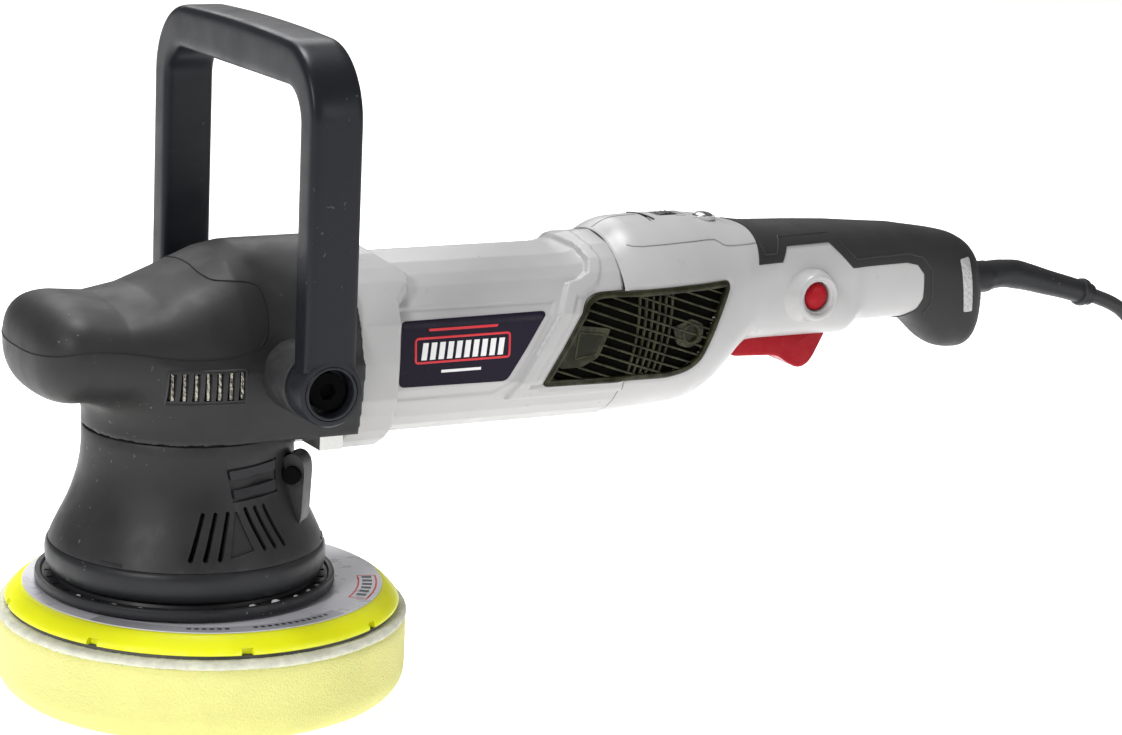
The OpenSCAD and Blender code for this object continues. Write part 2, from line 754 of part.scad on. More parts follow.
module cord_coil() {
    edge = 1.5;
    lead_w = cord_d + 0.4;
    lead_side = lead_y - lead_w / 2 - 0.4;
    color(col_black) difference() {
        translate([coil_c[0], coil_c[1], 0]) rotate_extrude($fn = 96)
            polygon([
                [coil_in_r, edge], [coil_in_r + edge, 0], [coil_out_r - edge, 0], [coil_out_r, edge],
                [coil_out_r, coil_h - edge], [coil_out_r - edge, coil_h], [coil_in_r + edge, coil_h],
                [coil_in_r, coil_h - edge]]);
        translate([470, lead_side, -1]) cube([34, 20, 40]);
        translate([470, lead_side, -1]) cube([coil_c[0] - 470, 20, lead_w + 1]);
        translate([coil_c[0], lead_side, coil_h - lead_w]) cube([60, 20, 20]);
    }
}

module cord_tail() {
    color(col_black) tube(concat(smooth(TAIL_ROUTE, 3), [TAIL_ROUTE[len(TAIL_ROUTE) - 1]]), cord_d / 2, 10);
}

module mains_plug() {
    color(col_black) union() {
        translate([plug_x, 0, plug_z]) rotate([0, 90, 0]) cylinder(h = 20, r1 = 4, r2 = 7.5, $fn = 48);
        translate([plug_x + 20 - eps, -5.5, plug_z - 13.4]) cube([34, 11, 26.8]);
        for (s = [-1, 1]) translate([plug_x + 20 - eps, s * 5.5, plug_z]) rotate([0, 90, 0])
            cylinder(h = 34, r = 13.4, $fn = 64);
    }
}

module plug_pins() {
    color(col_steel) for (s = [-1, 1]) translate([plug_x + 54, s * 9.5, plug_z]) rotate([0, 90, 0])
        cylinder(h = 19, r = 2.4, $fn = 32);
}

// ---------- what each node draws ----------
foam_pad();
pad_fleece();
hook_layer();
backing_plate();
plate_label();
pad_hub();
pad_bearing();
eccentric_shaft();
counterweight();
crown_gear();
pinion();
armature_shaft();
armature_core();
armature_windings();
commutator();
cooling_fan();
gearbox_housing();
spindle_bearing_lower();
spindle_bearing_upper();
armature_bearing_front();
armature_bearing_rear();
bearing_bracket();
gear_cover();
grip_shell();
shroud();
shroud_ring();
brake_skirt();
clamp_screw();
d_handle();
handle_bolt(-1);  // handle_bolt_left
handle_bolt(1);  // handle_bolt_right
motor_housing();
stator();
air_baffle();
brush_holder(-1);  // brush_holder_left
brush_holder(1);  // brush_holder_right
carbon_brush(-1);  // carbon_brush_left
carbon_brush(1);  // carbon_brush_right
side_label(-1);  // side_label_left
side_label(1);  // side_label_right
vent_grille(-1);  // vent_grille_left
vent_grille(1);  // vent_grille_right
grille_screw(-1);  // grille_screw_left
grille_screw(1);  // grille_screw_right
handle_left();
handle_right();
overmold();
reflector(-1);  // reflector_left
reflector(1);  // reflector_right
trigger();
switch_body();
lock_button();
speed_dial();
control_board();
cable_boot();
cord();
cord_coil();
cord_tail();
mains_plug();
plug_pins();
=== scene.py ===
import bmesh
import bpy
import json
import math
import numpy as np
from mathutils import Matrix, Vector
from mathutils.geometry import delaunay_2d_cdt


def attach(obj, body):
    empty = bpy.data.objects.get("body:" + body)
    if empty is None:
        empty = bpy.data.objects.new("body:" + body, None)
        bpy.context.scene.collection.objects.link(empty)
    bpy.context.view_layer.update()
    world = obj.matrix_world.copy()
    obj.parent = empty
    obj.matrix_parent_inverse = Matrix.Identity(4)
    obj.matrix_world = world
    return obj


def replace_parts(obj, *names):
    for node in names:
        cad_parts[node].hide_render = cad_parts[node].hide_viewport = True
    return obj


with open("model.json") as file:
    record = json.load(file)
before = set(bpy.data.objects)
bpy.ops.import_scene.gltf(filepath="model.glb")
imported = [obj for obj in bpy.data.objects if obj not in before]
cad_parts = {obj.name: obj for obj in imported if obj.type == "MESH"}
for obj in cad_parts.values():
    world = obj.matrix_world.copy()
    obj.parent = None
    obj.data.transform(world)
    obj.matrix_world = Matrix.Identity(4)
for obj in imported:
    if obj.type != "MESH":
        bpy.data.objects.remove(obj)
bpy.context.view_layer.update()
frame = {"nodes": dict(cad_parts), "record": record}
NODES = frame["nodes"]
MM = 0.001          # the pieces are worked out in millimetres
SPIN = 2 * math.pi
SIDES = ((-1, "left"), (1, "right"))


def linked(obj):
    bpy.context.scene.collection.objects.link(obj)
    return obj


# ---------- camera, seen as in the photograph ----------

CAMERA_AT = (-0.4484, -1.078, 0.3998)
CAMERA_YAW = 29.45
CAMERA_PITCH = 13.04
CAMERA_ROLL = 2.7
CAMERA_LENS = 101.75


def make_camera():
    data = bpy.data.cameras.new("camera")
    data.lens = CAMERA_LENS
    data.sensor_width = 36
    data.clip_start = 0.05
    data.clip_end = 50
    cam = linked(bpy.data.objects.new("camera", data))
    yaw, pitch, roll = (math.radians(v) for v in (CAMERA_YAW, CAMERA_PITCH, CAMERA_ROLL))
    forward = Vector((math.sin(yaw) * math.cos(pitch), math.cos(yaw) * math.cos(pitch), -math.sin(pitch)))
    level = Vector((math.cos(yaw), -math.sin(yaw), 0))
    up = level.cross(forward)
    right = level * math.cos(roll) + up * math.sin(roll)
    top = up * math.cos(roll) - level * math.sin(roll)
    turn = Matrix((right, top, -forward)).transposed().to_4x4()
    cam.matrix_world = Matrix.Translation(CAMERA_AT) @ turn
    bpy.context.scene.camera = cam


make_camera()

# ---------- materials ----------


def node_of(tree, kind, **values):
    n = tree.nodes.new(kind)
    for key, value in values.items():
        if key in n.inputs:
            n.inputs[key].default_value = value
        else:
            setattr(n, key, value)
    return n


def noise_of(tree, coords, scale, detail=3.0, stretch=None):
    if stretch is not None:
        m = node_of(tree, "ShaderNodeMapping")
        m.inputs["Scale"].default_value = stretch
        tree.links.new(coords, m.inputs["Vector"])
        coords = m.outputs["Vector"]
    n = node_of(tree, "ShaderNodeTexNoise", Scale=scale, Detail=detail)
    tree.links.new(coords, n.inputs["Vector"])
    return n.outputs["Fac"]


def ranged(tree, value, a, b, low, high):
    r = node_of(tree, "ShaderNodeMapRange")
    r.inputs["From Min"].default_value = a
    r.inputs["From Max"].default_value = b
    r.inputs["To Min"].default_value = low
    r.inputs["To Max"].default_value = high
    tree.links.new(value, r.inputs["Value"])
    return r.outputs["Result"]


def blended(tree, factor, under, over):
    m = tree.nodes.new("ShaderNodeMix")
    m.data_type = "RGBA"
    tree.links.new(factor, m.inputs["Factor"])
    for value, socket in ((under, m.inputs["A"]), (over, m.inputs["B"])):
        if isinstance(value, tuple):
            socket.default_value = (*value, 1)
        else:
            tree.links.new(value, socket)
    return m.outputs["Result"]


def times(tree, a, b):
    m = node_of(tree, "ShaderNodeMath", operation="MULTIPLY")
    tree.links.new(a, m.inputs[0])
    if isinstance(b, (int, float)):
        m.inputs[1].default_value = b
    else:
        tree.links.new(b, m.inputs[1])
    return m.outputs[0]


def lighter(colour, by, plus=0.0):
    return tuple(min(1, c * by + plus) for c in colour)


def material(name, colour, rough=0.5, metal=0.0, tone=0.12, blotch=25, grain=1800, bump=0.06, depth=0.0002,
             wear=0.0, worn=None, scratch=0.0, dust=0.0, spec=0.35, sheen=0.0, cells=0, cell_bump=0.5,
             stretch=None, soft=0.0, specks=0.0, speck_colour=(0.8, 0.8, 0.78)):
    """A painted, moulded, cast or woven surface: tone blotches, fine grain, rubbed edges, scratches and dust."""
    mat = bpy.data.materials.new(name)
    mat.use_nodes = True
    t = mat.node_tree
    shader = t.nodes["Principled BSDF"]
    shader.inputs["Metallic"].default_value = metal
    shader.inputs["Specular IOR Level"].default_value = spec
    shader.inputs["Sheen Weight"].default_value = sheen
    shader.inputs["Subsurface Weight"].default_value = soft
    shader.inputs["Subsurface Scale"].default_value = 0.004
    coords = node_of(t, "ShaderNodeTexCoord").outputs["Object"]
    geometry = node_of(t, "ShaderNodeNewGeometry")
    big = noise_of(t, coords, blotch, 4)
    fine = noise_of(t, coords, grain, 3, stretch)
    base = blended(t, ranged(t, big, 0.35, 0.65, 0, 1), lighter(colour, 1 - tone), lighter(colour, 1 + tone))
    base = blended(t, ranged(t, fine, 0.62, 0.8, 0, tone), base, lighter(colour, 0.55))
    if wear:
        edge = ranged(t, geometry.outputs["Pointiness"], 0.51, 0.56, 0, wear)
        edge = times(t, edge, ranged(t, noise_of(t, coords, 220, 3), 0.4, 0.6, 0.2, 1))
        base = blended(t, edge, base, worn or lighter(colour, 1.6, 0.03))
    if scratch:
        lines = noise_of(t, coords, 60, 2, (1.5, 14, 14))
        base = blended(t, ranged(t, lines, 0.66, 0.72, 0, scratch), base, lighter(colour, 1.5, 0.04))
    if specks:
        spots = noise_of(t, coords, 420, 2)
        zone = ranged(t, noise_of(t, coords, 18, 2), 0.5, 0.6, 0, 1)
        base = blended(t, times(t, ranged(t, spots, 0.7, 0.73, 0, specks), zone), base, speck_colour)
    if dust:
        up = node_of(t, "ShaderNodeSeparateXYZ")
        t.links.new(geometry.outputs["Normal"], up.inputs[0])
        patches = ranged(t, noise_of(t, coords, 90, 5), 0.3, 0.7, 0.3, 1)
        settled = times(t, ranged(t, up.outputs["Z"], 0.2, 1, 0, dust), patches)
        base = blended(t, settled, base, (0.52, 0.51, 0.48))
    t.links.new(base, shader.inputs["Base Color"])
    smears = noise_of(t, coords, blotch * 4, 4)
    gloss = ranged(t, smears, 0.3, 0.7, max(0.03, rough - 0.07), min(1, rough + 0.08))
    t.links.new(gloss, shader.inputs["Roughness"])
    b = node_of(t, "ShaderNodeBump", Strength=bump, Distance=depth)
    t.links.new(fine, b.inputs["Height"])
    out = b.outputs["Normal"]
    if cells:
        v = node_of(t, "ShaderNodeTexVoronoi", Scale=cells)
        t.links.new(coords, v.inputs["Vector"])
        c = node_of(t, "ShaderNodeBump", Strength=cell_bump, Distance=depth * 2)
        t.links.new(v.outputs["Distance"], c.inputs["Height"])
        t.links.new(out, c.inputs["Normal"])
        out = c.outputs["Normal"]
    t.links.new(out, shader.inputs["Normal"])
    return mat


MAT = {}


def look(name, *values, **more):
    MAT[name] = material(name, *values, **more)


look("foam", (0.765, 0.745, 0.285), 0.95, tone=0.035, blotch=40, grain=1500, bump=0.55, depth=0.0004,
     cells=1100, cell_bump=0.35, spec=0.15, sheen=0.15, soft=0.15)
look("fleece", (0.72, 0.72, 0.60), 1.0, tone=0.10, blotch=260, grain=2200, bump=0.8, depth=0.0005, spec=0.1,
     sheen=0.4)
look("hook", (0.10, 0.10, 0.10), 0.9, tone=0.4, grain=1200, bump=0.9, depth=0.0005)
look("plate", (0.86, 0.88, 0.008), 0.42, tone=0.045, blotch=35, grain=900, bump=0.08, wear=0.25,
     worn=(0.88, 0.9, 0.25), soft=0.12, spec=0.25)
look("label_disc", (0.66, 0.65, 0.69), 0.3, tone=0.05, blotch=30, grain=700, bump=0.03, scratch=0.1)
look("steel", (0.55, 0.56, 0.58), 0.33, 1.0, tone=0.1, grain=700, bump=0.12, stretch=(1, 9, 9))
# painted shade: the bolt look is near-black, matte and without shine, standing in for the shade deep in the bolt
# wells and in the lug's hole
look("bolt", (0.004, 0.004, 0.004), 0.95, tone=0.2, grain=900, bump=0.2, spec=0.02)
look("weight", (0.16, 0.165, 0.17), 0.62, 0.7, tone=0.2, grain=600, bump=0.5, depth=0.0004)
look("laminations", (0.24, 0.235, 0.23), 0.5, 0.9, tone=0.15, grain=500, bump=0.6, stretch=(14, 0.4, 0.4))
look("copper", (0.58, 0.27, 0.12), 0.35, 0.9, tone=0.15, grain=900, bump=0.4, stretch=(0.5, 6, 6))
look("fan", (0.045, 0.045, 0.05), 0.5, tone=0.2, dust=0.25)
look("casting", (0.62, 0.62, 0.60), 0.45, 0.85, tone=0.1, grain=800, bump=0.4, depth=0.0003)
look("cover", (0.020, 0.020, 0.0215), 0.46, tone=0.12, blotch=22, grain=1500, bump=0.16, wear=0.25,
     scratch=0.06, dust=0.04, specks=0.10, spec=0.26)
look("soft_grip", (0.020, 0.020, 0.021), 0.52, tone=0.12, blotch=20, grain=1500, bump=0.12, wear=0.12,
     scratch=0.04, dust=0.03, specks=0.12, spec=0.26)
look("rubber", (0.016, 0.0165, 0.019), 0.42, tone=0.15, grain=1100, bump=0.1, dust=0.04, specks=0.15, spec=0.28)
look("bail_plastic", (0.011, 0.012, 0.0155), 0.36, tone=0.12, blotch=18, grain=1500, bump=0.1, wear=0.2,
     scratch=0.06, specks=0.06, spec=0.2)
look("housing", (0.43, 0.425, 0.425), 0.34, tone=0.025, blotch=30, grain=1500, bump=0.07, wear=0.12,
     worn=(0.80, 0.80, 0.79), scratch=0.03, specks=0.05, speck_colour=(0.34, 0.33, 0.32))
look("grille", (0.0085, 0.0085, 0.0035), 0.34, tone=0.2, grain=1300, bump=0.15, wear=0.35,
     worn=(0.10, 0.10, 0.055), spec=0.15)
# painted shade: a near-black, matte, shineless look for the shaded inside seen through the grilles
look("grille_painted_shade", (0.003, 0.003, 0.0025), 0.95, tone=0.3, grain=700, bump=0.3, cells=500, spec=0.02)
look("side_label", (0.014, 0.011, 0.022), 0.28, tone=0.15, grain=900, bump=0.05, scratch=0.05, spec=0.08)
look("reflector", (0.42, 0.42, 0.42), 0.3, tone=0.15, grain=900, bump=0.2, cells=600, cell_bump=0.9, spec=0.8)
look("red", (0.30, 0.003, 0.010), 0.30, tone=0.08, blotch=40, grain=1100, bump=0.08, wear=0.3,
     worn=(0.60, 0.06, 0.06), scratch=0.05, spec=0.1)
look("switch", (0.05, 0.05, 0.05), 0.5, tone=0.2, bump=0.2)
look("board", (0.05, 0.22, 0.09), 0.4, tone=0.2, bump=0.2)
look("carbon", (0.03, 0.03, 0.03), 0.7, tone=0.3, bump=0.4)
look("cord_rubber", (0.022, 0.022, 0.024), 0.5, tone=0.2, grain=900, bump=0.2, dust=0.08)
# dark joints and slits, and also painted shade: the same near-black look fills the shaded insides behind the cover's
# vents and inside the shroud
look("seam_and_shade", (0.008, 0.008, 0.009), 0.8, tone=0.3, bump=0.1)
look("seam_grey", (0.20, 0.20, 0.20), 0.7, tone=0.3, bump=0.1)
look("emboss", (0.024, 0.024, 0.025), 0.6, tone=0.2, bump=0.1)
look("print_red", (0.60, 0.015, 0.025), 0.3, tone=0.08, bump=0.05)
look("print_white", (0.80, 0.80, 0.80), 0.35, tone=0.06, bump=0.05)
look("print_dark", (0.05, 0.05, 0.06), 0.4, tone=0.2, bump=0.05)
look("print_grey", (0.42, 0.42, 0.45), 0.35, tone=0.1, bump=0.05)
look("mesh_steel", (0.42, 0.40, 0.34), 0.4, 0.8, tone=0.4, grain=900, bump=0.8, cells=900, cell_bump=1.0)
look("chalk", (0.62, 0.62, 0.62), 0.9, tone=0.2, grain=900, bump=0.6)

# ---------- building ----------


def make(name, points, faces):
    data = bpy.data.meshes.new(name)
    data.from_pydata([tuple(p) for p in np.asarray(points, float) * MM], [],
                     [tuple(int(i) for i in f) for f in faces])
    bm = bmesh.new()
    bm.from_mesh(data)
    bmesh.ops.remove_doubles(bm, verts=bm.verts, dist=1e-7)
    bmesh.ops.recalc_face_normals(bm, faces=bm.faces)
    bm.to_mesh(data)
    bm.free()
    return linked(bpy.data.objects.new(name, data))


def applied(obj):
    """The object with its modifiers made part of its mesh."""
    done = bpy.data.meshes.new_from_object(obj.evaluated_get(bpy.context.evaluated_depsgraph_get()))
    obj.modifiers.clear()
    obj.data = done
    return obj


def boolean(obj, tool, how="DIFFERENCE"):
    m = obj.modifiers.new("cut", "BOOLEAN")
    m.object = tool
    m.operation = how
    m.solver = "EXACT"
    applied(obj)
    bpy.data.objects.remove(tool)


def joined(name, parts):
    """(points, faces) lists as one object."""
    points, faces = [], []
    for p, f in parts:
        k = len(points)
        points += [tuple(v) for v in p]
        faces += [tuple(i + k for i in face) for face in f]
    return make(name, points, faces)


def painted(obj, mat):
    obj.data.materials.clear()
    obj.data.materials.append(mat)
    for face in obj.data.polygons:
        face.material_index = 0


def dress(obj, body, slot, mat=None, sharp=38):
    """The piece with its look, its smooth shading and the CAD body that it rides on."""
    painted(obj, MAT[mat or slot])
    obj.data.shade_smooth()
    obj.data.set_sharp_from_angle(angle=math.radians(sharp))
    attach(obj, body)
    return obj


def band(m, n, closed=True, caps=True):
    """Faces of m rings of n points."""
    faces = []
    last = n if closed else n - 1
    for k in range(m - 1):
        for i in range(last):
            j = (i + 1) % n
            faces.append((k * n + i, k * n + j, (k + 1) * n + j, (k + 1) * n + i))
    if caps:
        faces.append(tuple(range(n)))
        faces.append(tuple((m - 1) * n + i for i in range(n)))
    return faces


def lathe(profile, n=128, axis="z", at=(0, 0, 0)):
    """A closed profile of (radius, height) turned round an axis through the point."""
    rings = []
    for k in range(n):
        a = SPIN * k / n
        for r, h in profile:
            u, v = r * math.cos(a), r * math.sin(a)
            p = {"z": (u, v, h), "y": (u, h, v), "x": (h, u, v)}[axis]
            rings.append(tuple(p[i] + at[i] for i in range(3)))
    m = len(profile)
    faces = []
    for k in range(n):
        for i in range(m):
            up, over = (i + 1) % m, (k + 1) % n
            faces.append((k * m + i, k * m + up, over * m + up, over * m + i))
    return rings, faces


def rounded_profile(points, radius, steps=4):
    """Softens the corners of a closed 2-D outline."""
    out = []
    for i in range(len(points)):
        a, b, c = (np.array(points[(i + k) % len(points)], float) for k in (-1, 0, 1))
        r = min(radius, 0.45 * np.linalg.norm(a - b), 0.45 * np.linalg.norm(c - b))
        p, q = b + (a - b) / np.linalg.norm(a - b) * r, b + (c - b) / np.linalg.norm(c - b) * r
        for k in range(steps + 1):
            t = k / steps
            out.append(tuple((1 - t) ** 2 * p + 2 * t * (1 - t) * b + t * t * q))
    return out


BLOCK_FACES = [(0, 3, 2, 1), (4, 5, 6, 7), (0, 1, 5, 4), (1, 2, 6, 5), (2, 3, 7, 6), (3, 0, 4, 7)]


def box_part(lo, hi):
    x0, y0, z0 = lo
    x1, y1, z1 = hi
    return [(x, y, z) for z in (z0, z1) for x, y in ((x0, y0), (x1, y0), (x1, y1), (x0, y1))], BLOCK_FACES


def slab(s, x0, x1, y0, y1, z0, z1):
    """A box on one side of the machine; y is measured out from its middle plane."""
    return box_part((x0, min(s * y0, s * y1), z0), (x1, max(s * y0, s * y1), z1))


def pointing(angle):
    """Unit vectors outwards and along the turn at an angle round the z axis."""
    return np.array((math.cos(angle), math.sin(angle), 0)), np.array((-math.sin(angle), math.cos(angle), 0))


def sweep(points, radius, n=8):
    """A round tube along a 3-D line; radius is one number or one for each point."""
    pts = np.asarray(points, float)
    radii = np.broadcast_to(np.asarray(radius, float), (len(pts),))
    verts = []
    side = None
    for i, p in enumerate(pts):
        d = pts[min(i + 1, len(pts) - 1)] - pts[max(i - 1, 0)]
        d = d / np.linalg.norm(d)
        if side is None:
            side = np.cross(d, (0.1, 0.9, 0.2) if abs(d[1]) < 0.9 else (1, 0, 0.1))
        side = side - d * side.dot(d)
        side = side / np.linalg.norm(side)
        up = np.cross(d, side)
        for k in range(n):
            a = SPIN * k / n
            verts.append(p + radii[i] * (math.cos(a) * side + math.sin(a) * up))
    return verts, band(len(pts), n)


def smooth_line(points, steps=6):
    """A Catmull-Rom run through the points."""
    p = [np.array(v, float) for v in points]
    out = []
    for i in range(len(p) - 1):
        a, b, c, d = p[max(i - 1, 0)], p[i], p[i + 1], p[min(i + 2, len(p) - 1)]
        for k in range(steps):
            t = k / steps
            out.append(0.5 * (2 * b + (c - a) * t + (2 * a - 5 * b + 4 * c - d) * t * t
                              + (3 * b - a - 3 * c + d) * t ** 3))
    out.append(p[-1])
    return out


def resample(line, step, closed=False):
    """Points at even steps along a line or an outline."""
    p = [np.array(v, float) for v in line]
    if closed:
        p.append(p[0])
    out = []
    for a, b in zip(p[:-1], p[1:]):
        n = max(1, int(round(np.linalg.norm(b - a) / step)))
        out += [a + (b - a) * k / n for k in range(n)]
    if not closed:
        out.append(p[-1])
    return np.array(out)


def signed(poly, X, Z):
    """Distance to a closed outline, below nought inside it."""
    best = np.full(X.shape, 1e9)
    inside = np.zeros(X.shape, bool)
    for i in range(len(poly)):
        (ax, az), (bx, bz) = poly[i], poly[(i + 1) % len(poly)]
        ex, ez = bx - ax, bz - az
        t = np.clip(((X - ax) * ex + (Z - az) * ez) / (ex * ex + ez * ez), 0, 1)
        best = np.minimum(best, np.hypot(X - ax - ex * t, Z - az - ez * t))
        if az != bz:
            cross = (az > Z) != (bz > Z)
            inside ^= cross & (X < ax + (Z - az) * ex / ez)
    return np.where(inside, -best, best)


def step_up(v, a, b):
    """Eases from nought to one as v goes from a to b."""
    t = np.clip((v - a) / (b - a), 0, 1)
    return t * t * (3 - 2 * t)


def inset(poly, d):
    """An outline drawn in by d, for simple outlines that run anticlockwise or clockwise."""
    n = len(poly)
    area = sum(poly[i][0] * poly[(i + 1) % n][1] - poly[(i + 1) % n][0] * poly[i][1] for i in range(n))
    s = 1 if area > 0 else -1
    out = []
    for i in range(n):
        a, b, c = (np.array(poly[(i + k) % n], float) for k in (-1, 0, 1))
        u, v = (b - a) / np.linalg.norm(b - a), (c - b) / np.linalg.norm(c - b)
        m = s * np.array([-(u + v)[1], (u + v)[0]])
        m = m / np.linalg.norm(m)
        out.append(tuple(b + m * d / max(0.35, s * (-u[1] * m[0] + u[0] * m[1]))))
    return out


def laid(outline, surface, side, lift, thick, cell=2.0):
    """A thin piece with that outline in the side view, laid on the surface."""
    edge = resample(outline, 1.2, True)
    lo, hi = edge.min(0), edge.max(0)
    gx, gz = np.meshgrid(np.arange(lo[0], hi[0], cell), np.arange(lo[1], hi[1], cell))
    inner = signed([tuple(p) for p in edge], gx, gz) < -0.5 * cell
    grid = [Vector(p) for p in edge] + [Vector((a, b)) for a, b in zip(gx[inner], gz[inner])]
    n = len(edge)
    pts, _, tris, *_ = delaunay_2d_cdt(grid, [(i, (i + 1) % n) for i in range(n)], [], 1, 1e-5)
    X, Z = np.array([p[0] for p in pts]), np.array([p[1] for p in pts])
    Y = surface(X, Z)
    top = [(x, side * (y + lift), z) for x, y, z in zip(X, Y, Z)]
    low = [(x, side * (y + lift - thick), z) for x, y, z in zip(X[:n], Y[:n], Z[:n])]
    k = len(top)
    faces = [tuple(t) for t in tris] + [(i, (i + 1) % n, k + (i + 1) % n, k + i) for i in range(n)]
    return top + low, faces


def frame_strip(outline, surface, side, profile):
    """A raised or sunk frame along an outline; profile is (inset, lift)."""
    loops = []
    for d, lift in profile:
        loop = resample(outline, 1.2, True)
        loops.append((np.array(inset([tuple(p) for p in loop], d)), lift))
    n = len(loops[0][0])
    points = []
    for loop, lift in loops:
        Y = surface(loop[:, 0], loop[:, 1])
        points += [(x, side * (y + lift), z) for (x, z), y in zip(loop, Y)]
    return points, band(len(loops), n, True, False)


def line_on(surface, points, side, lift=0.0, step=1.5):
    """A line drawn in the side view, laid on the surface."""
    p = resample(points, step)
    return [(x, side * (y + lift), z) for (x, z), y in zip(p, surface(p[:, 0], p[:, 1]))]


def iso_mesh(field, low, high, step):
    """The surface where a field is nought: one point in each cell that it crosses, then moved onto it."""
    axes = [np.arange(a, b + step, step) for a, b in zip(low, high)]
    X, Y, Z = np.meshgrid(*axes, indexing="ij")
    F = field(X, Y, Z)
    corners = [(i, j, k) for i in (0, 1) for j in (0, 1) for k in (0, 1)]
    nx, ny, nz = (len(a) - 1 for a in axes)
    value = {c: F[c[0]:c[0] + nx, c[1]:c[1] + ny, c[2]:c[2] + nz] for c in corners}
    count = sum((v < 0).astype(int) for v in value.values())
    cells = np.argwhere((count > 0) & (count < 8))
    total, hits = np.zeros((len(cells), 3)), np.zeros(len(cells))
    ci = tuple(cells.T)
    for a in corners:
        for d in range(3):
            if a[d] == 0:
                b = tuple(a[i] + (i == d) for i in range(3))
                fa, fb = value[a][ci], value[b][ci]
                hit = (fa < 0) != (fb < 0)
                t = np.where(hit, fa / np.where(hit, fa - fb, 1), 0)
                p = np.array(a, float)[None].repeat(len(cells), 0)
                p[:, d] += t
                total += p * hit[:, None]
                hits += hit
    points = (cells + total / hits[:, None]) * step + np.array([a[0] for a in axes])
    for _ in range(3):
        f = field(*points.T)
        e = 0.05
        grad = np.stack([field(*(points + e * np.eye(3)[d]).T) - f for d in range(3)], 1) / e
        move = -(f / np.maximum((grad ** 2).sum(1), 0.05))[:, None] * grad
        points += np.clip(move, -0.5 * step, 0.5 * step)
    index = np.full((nx, ny, nz), -1)
    index[ci] = np.arange(len(cells))
    faces = []
    for d in range(3):
        e1, e2 = [i for i in range(3) if i != d]
        lo = [slice(0, None)] * 3
        hi = [slice(0, None)] * 3
        lo[d], hi[d] = slice(0, -1), slice(1, None)
        cross = (F[tuple(lo)] < 0) != (F[tuple(hi)] < 0)
        edges = np.argwhere(cross)
        for e in (e1, e2):
            edges = edges[(edges[:, e] > 0) & (edges[:, e] < F.shape[e] - 1)]
        quad = []
        for s1, s2 in ((0, 0), (1, 0), (1, 1), (0, 1)):
            c = edges.copy()
            c[:, e1] -= s1
            c[:, e2] -= s2
            quad.append(index[tuple(c.T)])
        faces += [tuple(q) for q in np.stack(quad, 1)]
    return points, faces


def surface_y(field, x, z, far=66.0, steps=132):
    """How far out in y the surface lies, at places given in the side view."""
    x, z = np.asarray(x, float), np.asarray(z, float)
    ys = np.linspace(far, 0, steps)
    F = np.stack([field(x, np.full(x.shape, y), z) for y in ys])
    first = np.argmax(F < 0, axis=0)
    i = np.clip(first, 1, steps - 1)
    a = np.take_along_axis(F, (i - 1)[None], 0)[0]
    b = np.take_along_axis(F, i[None], 0)[0]
    t = np.clip(a / np.where(a - b == 0, 1, a - b), 0, 1)
    return np.where(first > 0, ys[i - 1] + (ys[i] - ys[i - 1]) * t, 0)


# ---------- mains lead: boot, hanging stretch, coil, tail, plug ----------

CORD_D = 6.4
LEAD_Y = 1.4
COIL_AT = (511, -40)
COIL_R = (41.4, 35.0, 28.6)
COIL_ROWS = 4
BOOT_ROUTE = [(365.9, 0, 138.6), (374, 0, 139.4), (382, 0, 138.8), (390, 0, 137), (400, 0, 134.2), (412, 0, 131),
              (424, 0, 127.4)]
CORD_ROUTE = [(412, 0, 131), (424, 0, 127.4), (433, 0, 124.4), (443, 0, 119.6), (453, 0, 110), (461, 0, 95),
              (466, 0, 76), (469, 0, 56), (473, 0, 37), (480, 0, 22), (490, 1, 10), (502, LEAD_Y, 3.2),
              (511, LEAD_Y, 3.2)]
TAIL_ROUTE = [(511, LEAD_Y, 22.4), (522, LEAD_Y, 22.4), (536, 1, 21), (552, 0, 18), (566, 0, 15), (580, 0, 14)]
PLUG_X = 580
PLUG_Z = 14
PLUG_STATIONS = ((20, 8.5), (24, 12), (36, 13.4), (52, 13.0), (54, 11.8))   # x past the cord's end, half width
TIE_HALF = 6.0
TIE_THICK = (0.15, 1.5)


def coil_turns():
    """Three turns in each of four rows, in and out by turns, going clockwise from the far side."""
    out = []
    per_turn = 40
    last = len(COIL_R) - 1
    for row in range(COIL_ROWS):
        radii = COIL_R if row % 2 == 0 else COIL_R[::-1]
        z = CORD_D * (row + 0.5)
        for turn, r in enumerate(radii):
            next_r = radii[turn + 1] if turn < last else r
            rise = CORD_D if turn == last and row < COIL_ROWS - 1 else 0
            for k in range(per_turn):
                a = 90 - 360 * k / per_turn
                s = float(step_up(np.array(k / per_turn), 0.80, 1.0))
                q = r + (next_r - r) * s
                out.append((COIL_AT[0] + q * math.cos(math.radians(a)), COIL_AT[1] + q * math.sin(math.radians(a)),
                            z + rise * s))
    return out


def make_cord():
    hang = smooth_line(CORD_ROUTE, 2)
    tail = smooth_line(TAIL_ROUTE, 2)
    line = [tuple(p) for p in hang[:-1]] + coil_turns() + [tuple(p) for p in tail]
    data = bpy.data.curves.new("mains_lead", "CURVE")
    data.dimensions = "3D"
    data.bevel_depth = CORD_D / 2 * MM
    data.bevel_resolution = 4
    data.resolution_u = 3
    spline = data.splines.new("NURBS")
    spline.points.add(len(line) - 1)
    for point, p in zip(spline.points, line):
        point.co = (*(v * MM for v in p), 1)
    spline.order_u = 3
    spline.use_endpoint_u = True
    data.materials.append(MAT["cord_rubber"])
    lead = linked(bpy.data.objects.new("mains_lead", data))
    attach(lead, "base")
    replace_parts(lead, "cord", "cord_coil", "cord_tail")
    return lead


